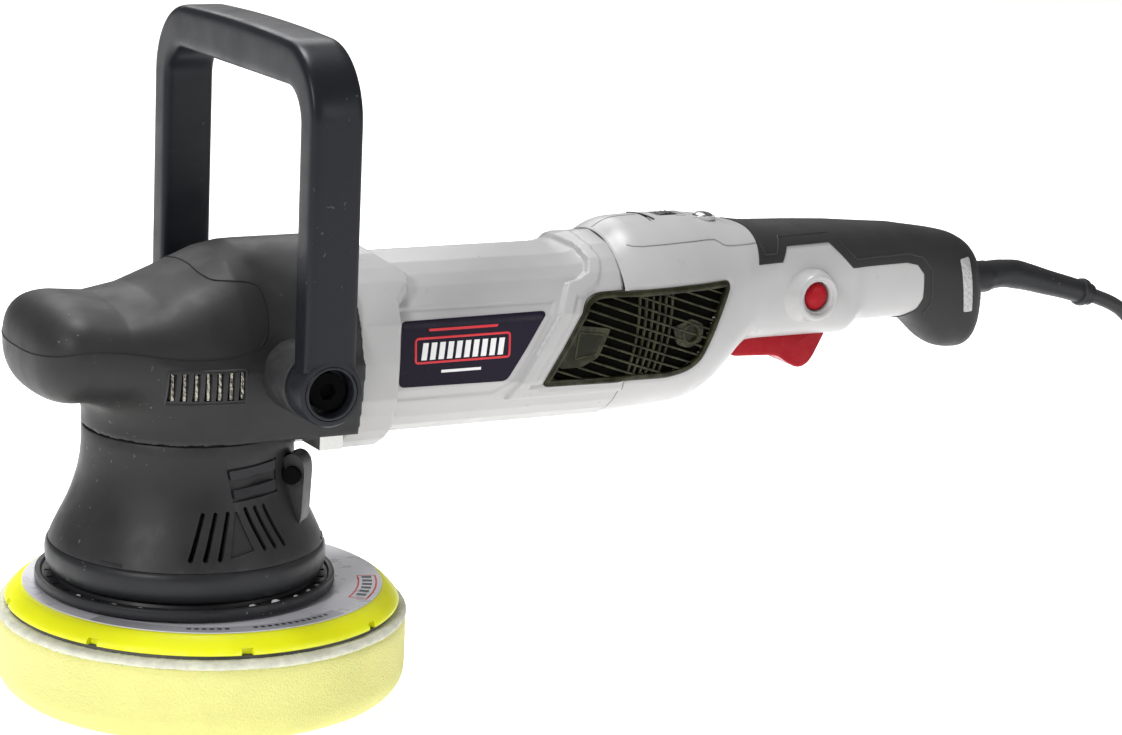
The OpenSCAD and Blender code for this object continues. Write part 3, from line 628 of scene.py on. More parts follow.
def make_plug():
    rings = []
    n = 48
    for x, w in PLUG_STATIONS:
        for i in range(n):
            a = SPIN * i / n
            c, s = math.cos(a), math.sin(a)
            rings.append((PLUG_X + x, (w + 5.4 * min(1, w / 13)) * math.copysign(abs(c) ** 0.8, c),
                          PLUG_Z + w * math.copysign(abs(s) ** 0.9, s)))
    parts = [(rings, band(len(PLUG_STATIONS), n))]
    neck = [(4.0, 0), (4.4, 1), (7.6, 20.5), (3.2, 20.5), (3.2, 0)]
    parts.append(lathe([(r, PLUG_X + x) for r, x in neck], 40, "x", (0, 0, PLUG_Z)))
    for k in range(5):
        r, x = 4.9 + 0.66 * k, PLUG_X + 3 + 3.6 * k
        parts.append(lathe([(r + 0.5, x - 1), (r + 0.9, x), (r + 0.6, x + 1), (r - 1, x)], 40, "x", (0, 0, PLUG_Z)))
    for s in (-1, 1):
        for k in range(4):
            x = PLUG_X + 28 + 5 * k
            rib = [(x, s * y, PLUG_Z + z) for y, z in ((6, 12.7), (13, 10.2), (18.2, 2))]
            parts.append(sweep(rib, 0.9, 8))
    plug = dress(joined("plug_body", parts), "base", "cord_rubber")
    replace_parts(plug, "mains_plug")


def make_tie():
    """The hook-and-loop strap round the coil's turns."""
    section = rounded_profile([(25.4, -0.0), (44.7, 0.0), (44.7, 26.0), (25.4, 26.0)], 3.5, 4)
    points = []
    for off in (-TIE_HALF, TIE_HALF):
        for grow in TIE_THICK:
            points += [(COIL_AT[0] + off, COIL_AT[1] - r, max(z, 0.05) + 0.1) for r, z in inset(section, -grow)]
    m = len(section)
    faces = []
    for i in range(m):
        a, b, c, d = (k * m + i for k in range(4))
        a2, b2, c2, d2 = (k * m + (i + 1) % m for k in range(4))
        faces += [(a, b, b2, a2), (c, c2, d2, d), (b, d, d2, b2), (a, a2, c2, c)]
    dress(make("coil_tie", points, faces), "base", "hook")


def make_boot():
    route = smooth_line(BOOT_ROUTE, 5)
    lead_in = [(352, 0, 138.6), (358, 0, 138.6), (362, 0, 138.6)]
    axis = lead_in + [tuple(p) for p in route]
    radii = np.interp(np.linspace(0, 1, len(axis)), [0, 0.12, 0.16, 0.3, 0.42, 0.8, 1],
                      [6.9, 6.9, 6.3, 6.0, 6.3, 5.2, 4.9])
    parts = [sweep(axis, radii, 32)]
    end = np.array(BOOT_ROUTE[-1], float)
    back = end - np.array(BOOT_ROUTE[-2], float)
    back /= np.linalg.norm(back)
    parts.append(sweep([end - back * d for d in (6, 5.4, 4, 2.6, 2)], [4.9, 5.9, 6.2, 5.9, 4.9], 32))
    parts.append(sweep([end - back * 3, end + back * 0.8, end + back * 1.4], [4.9, 4.8, 4.0], 32))
    boot = dress(joined("cable_sleeve", parts), "base", "rubber")
    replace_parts(boot, "cable_boot")


def make_lead():
    lead = make_cord()
    make_plug()
    make_tie()
    make_boot()


make_lead()

# ---------- polishing pad ----------

PAD_AT = (7.5, 0, 0)
FOAM_R = 78.0
FOAM_ROUND = 11
PORE_DEPTH = 0.045
FUZZ_DEPTH = 0.10
PLATE_R = 75.0
PLATE_TOP = 41.0
NOTCHES = 8
NOTCH_TURN = 35


def wobble(k, n, a=3, b=7):
    turn = SPIN * k / n
    return 0.5 * math.sin(a * turn) + 0.3 * math.sin(b * turn + 1.3) + 0.2 * math.sin(17 * turn)


def make_foam(rng):
    n = 360
    r, q = FOAM_R, FOAM_ROUND
    side = [(0.05, 0), (30, 0), (52, 0.0), (60, 0.1), (66, 0.5)]
    side += [(r - q + q * math.sin(math.radians(a)), q - q * math.cos(math.radians(a))) for a in range(12, 91, 6)]
    side += [(r, z) for z in np.arange(12, 28, 1.4)]
    side += [(r - 0.2, 28.5), (r - 0.6, 29.6), (r - 1.3, 30.3), (60, 30.35), (0.05, 30.35)]
    pores = rng.normal(0, PORE_DEPTH, (n, len(side)))
    points, m = [], len(side)
    for k in range(n):
        a = SPIN * k / n
        for i, (q, z) in enumerate(side):
            edge = min(1, max(0, (q - 58) / 14))
            q2 = q + edge * (0.18 * wobble(k, n) + pores[k, i])
            points.append((PAD_AT[0] + q2 * math.cos(a), q2 * math.sin(a), z))
    faces = []
    for k in range(n):
        for i in range(m - 1):
            j = (k + 1) % n
            faces.append((k * m + i, j * m + i, j * m + i + 1, k * m + i + 1))
    foam = dress(make("foam_body", points, faces), "pad", "foam", sharp=80)
    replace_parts(foam, "foam_pad")


def make_fleece(rng):
    n = 720
    rings = [(70, 30.1), (75.5, 30.0), (77.6, 30.1), (78.1, 30.9), (77.9, 31.9), (77.1, 32.7), (75.0, 33.0),
             (70, 33.0)]
    fuzz = rng.normal(0, FUZZ_DEPTH, (n, len(rings), 2))
    points, m = [], len(rings)
    for k in range(n):
        a = SPIN * k / n
        for i, (q, z) in enumerate(rings):
            w = 1.0 if 0 < i < m - 1 else 0.2
            q2 = q + w * fuzz[k, i, 0]
            wave = 0.2 * wobble(k, n, 5, 11) if i in (1, 2) else 0
            points.append((PAD_AT[0] + q2 * math.cos(a), q2 * math.sin(a), z + w * fuzz[k, i, 1] + wave))
    faces = []
    for k in range(n):
        for i in range(m):
            j, i2 = (k + 1) % n, (i + 1) % m
            faces.append((k * m + i, j * m + i, j * m + i2, k * m + i2))
    fleece = dress(make("fleece_backing", points, faces), "pad", "fleece", sharp=80)
    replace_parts(fleece, "pad_fleece")


def make_plate():
    r, top = PLATE_R, PLATE_TOP
    side = [(14, 34.3), (r - 1.0, 34.3), (r - 0.2, 34.6), (r, 35.3), (r - 0.3, 36.0), (r - 1.4, 37.2),
            (r - 3.4, 39.2), (r - 5.2, 40.6), (r - 6.2, top), (r - 7.2, top), (14, top)]
    plate = make("plate_body", *lathe(side, 192, "z", PAD_AT))
    cuts = []
    for k in range(NOTCHES):
        u, v = pointing(math.radians(360 / NOTCHES * k + NOTCH_TURN))
        corners = []
        for z in (33.5, 37.0):
            for du, dv in ((-3.0, -2.0), (3, -2.6), (3, 2.6), (-3.0, 2.0)):
                corners.append(np.array(PAD_AT, float) + u * (r + du) + v * dv + np.array((0, 0, z)))
        cuts.append((corners, BLOCK_FACES))
    boolean(plate, joined("tool", cuts))
    dress(plate, "pad", "plate", sharp=50)
    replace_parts(plate, "backing_plate")
    film = [(16.4, top), (68.2, top), (68.5, top + 0.2), (68.3, 41.45), (16.4, 41.45)]
    disc = dress(make("label_film", *lathe(film, 160, "z", PAD_AT)), "pad", "label_disc")
    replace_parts(disc, "plate_label")


def arc_mark(r0, r1, a0, a1, z=41.5):
    """A printed stretch of a ring on the label disc, between two radii and two angles."""
    steps = max(2, int(abs(a1 - a0) / 2))
    pts = []
    for k in range(steps + 1):
        a = math.radians(a0 + (a1 - a0) * k / steps)
        pts += [(PAD_AT[0] + q * math.cos(a), q * math.sin(a), z) for q in (r0, r1)]
    return pts, [(2 * k, 2 * k + 1, 2 * k + 3, 2 * k + 2) for k in range(steps)]


def make_pad():
    rng = np.random.default_rng(4)
    make_foam(rng)
    make_fleece(rng)
    make_plate()
    grey = [arc_mark(61.6, 68.0, -150, -62, 41.47)]
    dark = [arc_mark(63.0, 64.9, a, a + 1.5) for a in np.arange(-96, -66, 2.5)]
    dark += [arc_mark(63.0, 64.9, a, a + 1.5) for a in np.arange(-118, -104, 2.5)]
    dark += [arc_mark(60.8, 64.6, a, a + 2.6) for a in np.arange(-42, -20, 4.2)]
    red = [arc_mark(59.0, 59.7, -45, -18), arc_mark(65.8, 66.5, -45, -18), arc_mark(59.0, 66.5, -45.6, -45),
           arc_mark(59.0, 66.5, -18, -17.4)]
    for name, parts, mat in (("disc_print_grey", grey, "print_grey"), ("disc_print_dark", dark, "print_dark"),
                             ("disc_print_red", red, "print_red")):
        dress(joined(name, parts), "pad", "label_disc", mat)


make_pad()

# ---------- shroud, ring and skirt ----------

SHROUD = [(51.9, 59.4), (51.4, 60.8), (50.2, 63.6), (48.8, 66.6), (47.1, 70), (45.4, 73.6), (43.8, 77.6), (42.4, 82),
          (41.3, 86), (40.5, 90.5), (40.1, 95), (40, 99), (40, 103.2), (39.8, 103.6)]
SHROUD_WALL = 3.2
LUG_ANGLE = -43
SKIRT_LOW = 42.3
SKIRT_SLITS = 36
CRUMBS = ((-160, 1.0), (-152, 0.6), (-141, 1.5), (-130, 1.2), (-118, 1.0), (-104, 0.5), (-84, 1.3), (-73, 1.7),
          (-62, 1.2), (-52, 1.0), (-44, 1.1), (-36, 1.4), (60, 1.2), (84, 0.8), (110, 1.3), (145, 0.9))


def shroud_r(z):
    return np.interp(z, [p[1] for p in SHROUD], [p[0] for p in SHROUD])


def around(angle, z, out=0.0):
    a = math.radians(angle)
    r = float(shroud_r(z)) + out
    return (r * math.cos(a), r * math.sin(a), z)


def curved_block(corners, low, high):
    """A block on the shroud between two depths; corners are (angle, z)."""
    outline = resample(corners, 1.5, True)
    pts = [around(a, z, low) for a, z in outline] + [around(a, z, high) for a, z in outline]
    n = len(outline)
    return pts, band(2, n)


def slot_corners(a0, z0, a1, z1, w):
    """A slanted slot with round ends, drawn in (angle, z); w is its half width in degrees."""
    out = []
    for s, (a, z) in ((1, (a1, z1)), (-1, (a0, z0))):
        for k in range(7):
            t = math.pi * k / 6
            out.append((a + s * w * math.cos(t), z + s * 1.0 * math.sin(t)))
    return out


def make_lug(body):
    """The clamp lug at the back of the shroud, and the hole across it."""
    u, v = pointing(math.radians(LUG_ANGLE))
    side = [(39.5, 70.5), (46.4, 68.5), (47.4, 73), (47.9, 84), (48.2, 90), (47.6, 94), (45.6, 96.4), (43, 97),
            (39.5, 95)]
    side = rounded_profile(side, 1.6, 3)
    pts = [tuple(u * r + v * w + np.array((0, 0, z))) for w in (-4.8, 4.8) for r, z in side]
    boolean(body, make("lug", pts, band(2, len(side))), "UNION")
    pin, faces = lathe([(0.01, -30), (2.9, -30), (2.9, 30), (0.01, 30)], 32, "y")
    pts = [tuple(u * (44.0 + p[0]) + v * p[1] + np.array((0, 0, 89.4 + p[2]))) for p in np.array(pin)]
    boolean(body, make("hole", pts, faces))


def make_shroud_body():
    body = make("shroud_body", *lathe(SHROUD + [(r - SHROUD_WALL, z) for r, z in SHROUD[::-1]], 240))
    make_lug(body)
    cuts = []
    for j in range(3):
        cuts.append(curved_block(slot_corners(-110.4 + 6.3 * j, 64.0, -104.6 + 6.3 * j, 79.0, 1.15), -5, 3))
        cuts.append(curved_block(slot_corners(-76.2 + 5.6 * j, 66.0, -82.4 + 5.6 * j, 80.0, 1.15), -5, 3))
    cuts.append(curved_block([(-93.4, 64.0), (-81.6, 65.8), (-87.0, 79.6), (-88.4, 79.6)], -0.9, 3))
    cuts.append(curved_block([(-91.6, 95.2), (-58.0, 96.6), (-59.5, 84.0), (-88.6, 82.8)], -0.7, 3))
    boolean(body, joined("cuts", cuts))
    dress(body, "base", "cover", sharp=32)
    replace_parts(body, "shroud")
    bars = [curved_block(rounded_profile(corners, 0.7, 2), -1.2, 0.5) for corners in (
        [(-90.4, 94.4), (-59.4, 95.8), (-59.8, 92.2), (-89.2, 91)],
        [(-88.4, 87.4), (-60.4, 88.6), (-60.6, 85.0), (-87.8, 84.0)])]
    dress(joined("shroud_bars", bars), "base", "cover", "rubber")
    # painted shade: a near-black cone just inside the shroud, behind its slots, standing in for the shade within
    dark = lathe([(36.6, 60), (45, 60), (37.4, 82), (36.8, 82)], 96)
    dress(make("shroud_inner_shade", *dark), "base", "rubber", "seam_and_shade")


def make_ring():
    ring = [(48.4, 47.0), (50.2, 47.2), (51.6, 48.4), (52.6, 50.4), (53.1, 53), (53.2, 55.6), (52.9, 57.6),
            (52.2, 58.9), (51.6, 59.25), (48.0, 59.25), (46.6, 54), (46.4, 49)]
    wall = []
    for a, b in zip(ring, ring[1:] + ring[:1]):
        wall += [a, ((a[0] + b[0]) / 2, (a[1] + b[1]) / 2)]
    body = dress(make("ring_body", *lathe(wall, 200)), "base", "rubber", sharp=70)
    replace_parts(body, "shroud_ring")
    tops = [curved_block(rounded_profile([(a, 60.0), (a + 11, 60.0), (a + 11, 60.9), (a, 60.9)], 0.4, 2), -0.6, 0.35)
            for a in (-150, -30, 40, 130)]
    dress(joined("ring_tabs", tops), "base", "rubber")


def make_skirt():
    z = SKIRT_LOW
    skirt = [(43, z), (55.6, z), (56.6, z + 0.4), (56.8, z + 1.2), (56.8, z + 3.4), (56.5, z + 4.2), (55.6, z + 4.5),
             (54.6, z + 4.2), (54, z + 3.2), (49.4, z + 3.0), (48.9, z + 4.2), (43, z + 4.2)]
    body = make("skirt_body", *lathe(skirt, 200))
    cuts = []
    for k in range(SKIRT_SLITS):
        u, v = pointing(math.radians(360 / SKIRT_SLITS * k))
        corners = [u * q + v * w + np.array((0, 0, h)) for h in (z - 1, z + 6)
                   for q, w in ((50.4, -0.7), (53, -1.1), (53, 1.1), (50.4, 0.7))]
        cuts.append((corners, BLOCK_FACES))
    boolean(body, joined("slits", cuts))
    dress(body, "base", "rubber", sharp=40)
    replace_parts(body, "brake_skirt")
    rng = np.random.default_rng(11)
    crumbs = []
    for angle, size in CRUMBS:
        u, _ = pointing(math.radians(angle))
        c = u * rng.uniform(52.6, 54.2) + np.array((0, 0, z + 3.0))
        pts = []
        for i in range(5):
            tilt = math.pi * (i + 0.5) / 5
            for j in range(8):
                w = math.sin(tilt) * size * rng.uniform(0.85, 1.35)
                b = SPIN * j / 8
                pts.append(c + np.array((w * math.cos(b), w * math.sin(b), -size * 0.7 * math.cos(tilt) + 0.2)))
        crumbs.append((pts, band(5, 8)))
    dress(joined("compound_specks", crumbs), "base", "rubber", "chalk", sharp=60)


make_shroud_body()
make_ring()
make_skirt()

# ---------- gear cover and palm grip ----------

MOTOR_Z = 130.0
BAIL_AT = (24.0, 0.0, MOTOR_Z)
NOSE_X = -50
NOSE_Z = 137
NECK_R = 40.1
BLEND = 9.0
COVER_FLOOR = 104.3
COVER_END = 51.9
VENT_LOW, VENT_HIGH = 120.2, 133.7
COVER_X = [-50, -36, -22, -8, 6, 14, 20, 60]
COVER_HW = [34.6, 36.4, 38.6, 41, 42.6, 42.8, 42.8, 42.8]
COVER_LOW = [117.2, 116, 112.5, 104, 92, 88, 87, 87]
COVER_TOP = [156.0, 154.6, 157.4, 163.6, 170.6, 172.6, 172.8, 172.8]
COVER_SQ = [2.5, 2.5, 2.4, 2.25, 2.1, 2.0, 2.0, 2.0]
SEAM = [(-39, 140.4), (-26.5, 138.3), (-19.6, 137.3), (-9.8, 137.0), (-1.1, 137.4), (6.3, 138.9), (11, 141),
        (13.4, 144.6), (14.8, 150.7), (15.1, 157), (14.4, 160.2), (12.0, 162.0), (6, 162.7), (0, 162.7),
        (-2.4, 163.4), (-3.6, 164.8), (-3.0, 167)]


PALM_TIP = -68.4
TIP_SEAM = [(-67, 137.7), (-63, 139.2), (-57, 140.6), (-51, 141.1)]


def rounding(x):
    """How much of its full section the palm grip still has, in front of the nose."""
    q = np.clip((NOSE_X - x) / (NOSE_X - PALM_TIP), 0, 1)
    return np.maximum(1 - q ** 2.5, 0) ** (1 / 2.5)


def cover_field(x, y, z):
    """Below nought inside the gear cover: the palm grip and body, blended into the round neck."""
    s = rounding(x)
    front = x < NOSE_X
    hw = np.where(front, 34.6 * s, np.interp(x, COVER_X, COVER_HW))
    top = np.where(front, NOSE_Z + 19.0 * s, np.interp(x, COVER_X, COVER_TOP))
    low = np.where(front, NOSE_Z - 19.8 * s, np.interp(x, COVER_X, COVER_LOW))
    e = np.interp(x, COVER_X, COVER_SQ)
    hw, h, mid = np.maximum(hw, 1.0), np.maximum((top - low) / 2, 1.0), (top + low) / 2
    g = ((np.abs(y) / hw) ** e + (np.abs(z - mid) / h) ** e) ** (1 / e)
    palm = np.maximum((g - 1) * np.minimum(hw, h), PALM_TIP + 0.1 - x)
    out = np.hypot(np.minimum(x, 0), y)
    wide = NECK_R + 2.6 * np.clip((z - 104) / 26, 0, 1) * np.clip((x + 10) / 30, 0, 1)
    neck = np.maximum(out - wide, z - MOTOR_Z)
    t = np.clip(0.5 + 0.5 * (neck - palm) / BLEND, 0, 1)
    both = neck + (palm - neck) * t - BLEND * t * (1 - t)
    return np.maximum(np.maximum(both, COVER_FLOOR - z), x - COVER_END)


VENT_X = -22.3 + 4.2 * np.arange(7)


def seam_path():
    """The joint between the soft palm shell and the cover: down one side, round the tip and up the other."""
    side = [np.array(p) for p in smooth_line(TIP_SEAM[1:] + SEAM, 6)]
    X, Z = np.array([p[0] for p in side]), np.array([p[1] for p in side])
    Y = surface_y(cover_field, X, Z)
    X, Z, Y = X[Y > 1], Z[Y > 1], Y[Y > 1]
    left = [(x, -y, z) for x, y, z in zip(X, Y, Z)][::-1]
    right = [(x, y, z) for x, y, z in zip(X, Y, Z)]
    tip = []
    edge = Y[0]
    for y in np.linspace(-edge, edge, 25)[1:-1]:
        xs = np.linspace(-78, -55, 116)
        z = TIP_SEAM[0][1] + (TIP_SEAM[1][1] - TIP_SEAM[0][1]) * abs(y / edge) ** 3
        f = cover_field(xs, np.full(xs.shape, y), np.full(xs.shape, z))
        i = int(np.argmax(f < 0))
        tip.append((xs[i - 1] + (xs[i] - xs[i - 1]) * f[i - 1] / (f[i - 1] - f[i]), y, z))
    zs = np.linspace(190, 150, 401)
    crest = zs[int(np.argmax(cover_field(np.full(zs.shape, X[-1]), np.zeros(zs.shape), zs) < 0))]
    return [(X[-1], 0.0, crest)] + left + tip + right + [(X[-1], 0.0, crest)]


def cover_y(x, z):
    return surface_y(cover_field, x, z)


def make_vent(cover, s, word):
    """Seven slots with a rim round them and steel mesh behind them."""
    boolean(cover, joined("slots", [slab(s, x - 1.3, x + 1.3, 30, 60, 121.8, 132.4) for x in VENT_X]))
    low, high = VENT_LOW, VENT_HIGH
    panel = rounded_profile([(-24.4, low), (4.8, low), (4.8, high), (-24.4, high)], 1.0, 3)
    rim = frame_strip(panel, cover_y, s, [(-0.1, -0.4), (0.0, 0.3), (0.5, 0.4), (0.9, -0.3)])
    dress(joined(f"vent_frame_{word}", [rim]), "base", "cover", sharp=60)
    meshes = []
    for x in VENT_X:
        deep = float(cover_y(np.array([x]), np.array([127.0]))[0]) - 1.3
        meshes.append(slab(s, x - 0.1, x + 0.95, 33.2, deep, 122.0, 132.2))
    dress(joined(f"vent_mesh_{word}", meshes), "base", "cover", "mesh_steel")
    # painted shade: a near-black sheet behind the steel mesh, standing in for the shaded inside of the cover
    dress(joined(f"vent_back_{word}", [slab(s, -24, 12, 33.0, 33.4, 118, 134)]), "base", "cover", "seam_and_shade")


def make_cover():
    points, faces = iso_mesh(cover_field, (-77, -47, 102), (55, 47, 176), 1.15)
    P, F = np.asarray(points), np.array(faces)
    centre = P[F].mean(1)
    path = [(-90, TIP_SEAM[0][1])] + TIP_SEAM + SEAM + [(-3, 180), (-90, 180)]
    soft = signed(path, centre[:, 0], centre[:, 2]) < 0
    cover = make("cover_body", P, F[~soft])
    grip = make("palm_shell", P, F[soft])
    for s, word in SIDES:
        make_vent(cover, s, word)
    dress(cover, "base", "cover", sharp=48)
    dress(grip, "base", "soft_grip", sharp=60)
    boss = [(0.1, 30), (13.0, 30), (13.0, 60.9), (12.7, 61.5), (12.1, 61.7), (11.4, 61.5), (11.1, 60.6), (0.1, 60.6)]
    bosses = [lathe([(r, s * y) for r, y in boss], 96, "y", BAIL_AT) for s, _ in SIDES]
    dress(joined("cover_bosses", bosses), "base", "cover", sharp=50)
    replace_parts(cover, "gear_cover")
    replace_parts(grip, "grip_shell")
    dress(joined("palm_joint", [sweep(seam_path(), 0.32, 6)]), "base", "cover", "seam_and_shade", sharp=80)


make_cover()

# ---------- D-handle ----------

BAIL_IN = 62.4
BAIL_OUT = 75.0
BAIL_H = 126.0
ROUND_OUT, ROUND_IN = 28, 13
SCUFFS = 34


def bail_pairs():
    """(outer, inner) points of the handle seen along the machine, from one foot to the other."""
    pairs = []
    o, i = BAIL_OUT, BAIL_IN
    top_o, top_i = BAIL_H - 1 - ROUND_OUT, BAIL_H - 18 - ROUND_IN
    for t in np.linspace(0, 1, 26):
        pairs.append(((o, top_o * t), (i, top_i * t)))
    for t in np.linspace(0, 90, 20)[1:]:
        c, s = math.cos(math.radians(t)), math.sin(math.radians(t))
        pairs.append(((o - ROUND_OUT + ROUND_OUT * c, top_o + ROUND_OUT * s),
                      (i - ROUND_IN + ROUND_IN * c, top_i + ROUND_IN * s)))
    last_o, last_i = pairs[-1]
    for t in np.linspace(0, 1, 14)[1:]:
        bow = 1.0 * (1 - (1 - t) ** 2)
        pairs.append(((last_o[0] * (1 - t), last_o[1] + bow), (last_i[0] * (1 - t), last_i[1])))
    mirror = [((-a[0], a[1]), (-b[0], b[1])) for a, b in pairs[:-1]][::-1]
    return pairs + mirror


def make_bail():
    n = 56
    points = []
    pairs = bail_pairs()
    for outer, inner in pairs:
        mid = np.array([(outer[0] + inner[0]) / 2, (outer[1] + inner[1]) / 2])
        half = (np.array(outer) - np.array(inner)) / 2
        for k in range(n):
            a = SPIN * (k + 0.5) / n
            c, s = math.cos(a), math.sin(a)
            u = math.copysign(abs(c) ** (2 / 5.5), c)
            w = math.copysign(abs(s) ** (2 / 7.0), s)
            p = mid + half * u
            points.append((BAIL_AT[0] + 10.2 * w, p[0], MOTOR_Z + p[1]))
    body = make("bail_bar", points, band(len(pairs), n))
    for s, _ in SIDES:
        def turned(name, side, n):
            return make(name, *lathe([(r, s * y) for r, y in side], n, "y", BAIL_AT))

        foot = [(0.01, 62.4), (11.9, 62.4), (12.5, 63.0), (12.6, 73.9), (12.2, 74.7), (11.4, 75.0), (10.4, 75.0),
                (10.1, 74.6), (0.01, 74.6)]
        boolean(body, turned("foot", foot, 96), "UNION")
        boolean(body, turned("well", [(0.01, 67.2), (8.8, 67.2), (8.8, 76), (0.01, 76)], 64))
        boolean(body, turned("bore", [(0.01, 60), (4.05, 60), (4.05, 70), (0.01, 70)], 48))
    dress(body, "bail", "bail_plastic", sharp=42)
    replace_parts(body, "d_handle")
    rim = [(8.8, 74.5), (8.9, 75.2), (9.3, 75.35), (9.9, 75.2), (10.1, 74.5)]
    rims = [lathe([(r, s * y) for r, y in rim], 96, "y", BAIL_AT) for s, _ in SIDES]
    dress(joined("bail_rims", rims), "bail", "bail_plastic", sharp=70)


def make_scuffs():
    """Pale chips on the near leg's inner edge."""
    rng = np.random.default_rng(7)
    chips = []
    for _ in range(SCUFFS):
        z = 132 + 34 * rng.random() ** 0.8
        c = np.array((BAIL_AT[0] - 8.9 + 0.9 * rng.random(), -BAIL_IN - 0.55 - 1.6 * rng.random() ** 2, z))
        w, h = rng.uniform(0.15, 0.4), rng.uniform(0.3, 1.3)
        lean = rng.uniform(-0.6, 0.6)
        pts = []
        for i in range(6):
            b = SPIN * i / 6
            across = w * math.cos(b)
            pts.append(c + np.array((0.7 * across - 0.25, -0.7 * across, h * math.sin(b) + lean * across)))
        pts.append(c + np.array((-0.45, 0.15, 0)))
        chips.append((pts, [(i, (i + 1) % 6, 6) for i in range(6)]))
    dress(joined("bail_scuffs", chips), "bail", "bail_plastic", "chalk", sharp=60)


make_bail()
make_scuffs()

# ---------- motor housing ----------

HOUSING = [52.3, 170.0]
HOUSING_IN = 32.6
SECTION_Z = [-35.6, -33, -29, -24.5, -18, -12.5, 0, 13.2, 19.1, 25.6, 29.5, 33, 35.6]
SECTION_Y = [0, 13.4, 20.6, 25.8, 31.0, 34.0, 34.5, 34.0, 29.7, 24.7, 19.9, 13.4, 0]
COLLAR = [(40, 171), (62, 169.6), (70, 163.5), (78.8, 158.4), (76.8, 153.6), (71.6, 149.8), (70.4, 140), (70.2, 113),
          (72.4, 107), (72.6, 80), (40, 80)]
REAR = [(147.5, 180), (150, 168), (156.4, 163.6), (157.6, 159.6), (155.6, 156.4), (150.6, 154.4), (146.2, 153.6),
        (144.4, 151.4), (141.5, 147), (124.4, 120.4), (118.6, 110.4), (190, 110.4), (190, 180)]
PANEL = [(70, 148.6), (69.6, 113.6), (112.5, 113.4), (121.5, 118.6), (139, 148.2)]
HOUSING_T = np.linspace(0, SPIN, 361)[:-1]
GRILLE = [(133, 115), (152.4, 147.6), (158, 149.8), (219, 150.8), (219.4, 148), (206.4, 119.4), (200.4, 115.2),
          (192, 113.6)]
GRILLE_HOLE = [tuple(p) for p in inset(GRILLE, 1.0)]


def half_section(dz):
    """Half the plain section's width, at a height over the motor's axis."""
    return np.interp(dz, SECTION_Z, SECTION_Y)


def raised(x, z):
    """How far the housing stands out from its plain section."""
    collar = 4.9 * step_up(-signed(COLLAR, x, z), -0.4, 1.8)
    rear = signed(REAR, x, z)
    lift = 1.6 * step_up(-rear, -0.5, 0.6) - 1.0 * step_up(-rear, 4.4, 5.6)
    shelf = signed(PANEL, x, z)
    lift = lift - 0.7 * step_up(-shelf, -0.5, 0.5)
    pocket = signed(GRILLE, x, z)
    lip = -0.5 * step_up(-pocket, -1.6, -0.6) * (x > 120)
    swell = 3.0 * step_up(x, 148, 169) * step_up(z, 148, 164)
    return collar + lift + lip + swell


def housing_y(x, z):
    return half_section(np.asarray(z) - MOTOR_Z) + raised(np.asarray(x, float), np.asarray(z, float))


def make_housing():
    xs = np.concatenate([[52.3, 52.5, 52.9], np.arange(53.5, 169.4, 0.65), [169.5, 169.8, 170.0]])
    dense_z = np.linspace(-35.6, 35.6, 600)
    dense_y = half_section(dense_z)
    ang = np.arctan2(dense_z, dense_y)
    rad = np.hypot(dense_z, dense_y)
    t = (HOUSING_T + math.pi) % SPIN - math.pi
    fold = np.where(np.abs(t) > math.pi / 2, np.sign(t) * math.pi - t, t)
    base = np.interp(fold, ang, rad)
    X, T = np.meshgrid(xs, HOUSING_T, indexing="ij")
    R = np.broadcast_to(base, X.shape)
    Z = MOTOR_Z + R * np.sin(T)
    R = R + raised(X, Z)
    end = np.minimum(X - HOUSING[0], HOUSING[1] - X)
    R = R - 0.3 * (1 - step_up(end, 0.0, 0.5))
    P = np.stack([X, R * np.cos(T), MOTOR_Z + R * np.sin(T)], -1)
    m, n = X.shape
    faces = []
    gone = (signed(GRILLE_HOLE, P[..., 0], P[..., 2]) < 0) & (np.abs(P[..., 1]) > 15)
    for k in range(m - 1):
        for i in range(n):
            j = (i + 1) % n
            if not (gone[k, i] and gone[k, j] and gone[k + 1, i] and gone[k + 1, j]):
                faces.append((k * n + i, k * n + j, (k + 1) * n + j, (k + 1) * n + i))
    pts = [tuple(p) for p in P.reshape(-1, 3)]
    open_end = signed(GRILLE_HOLE, P[m - 1, :, 0], P[m - 1, :, 2]) < 0
    base_k = len(pts)
    for x in HOUSING:
        pts += [(x, HOUSING_IN * math.cos(a), MOTOR_Z + HOUSING_IN * math.sin(a)) for a in HOUSING_T]
    for i in range(n):
        j = (i + 1) % n
        faces.append((i, base_k + i, base_k + j, j))
        q = (m - 1) * n
        if not (open_end[i] or open_end[j]):
            faces.append((q + i, q + j, base_k + n + j, base_k + n + i))
    lap = []
    for x in (169.7, 170.5):
        lap += [(x, (r - 0.3) * math.cos(a), MOTOR_Z + (r - 0.3) * math.sin(a)) for r, a in zip(R[m - 4], HOUSING_T)]
    ring = [(i, (i + 1) % n, n + (i + 1) % n, n + i) for i in range(n) if not (open_end[i] or open_end[(i + 1) % n])]
    dress(make("housing_lap", lap, ring), "base", "housing", "seam_grey", sharp=60)
    body = dress(make("housing_body", pts, faces), "base", "housing", sharp=35)
    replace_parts(body, "motor_housing")


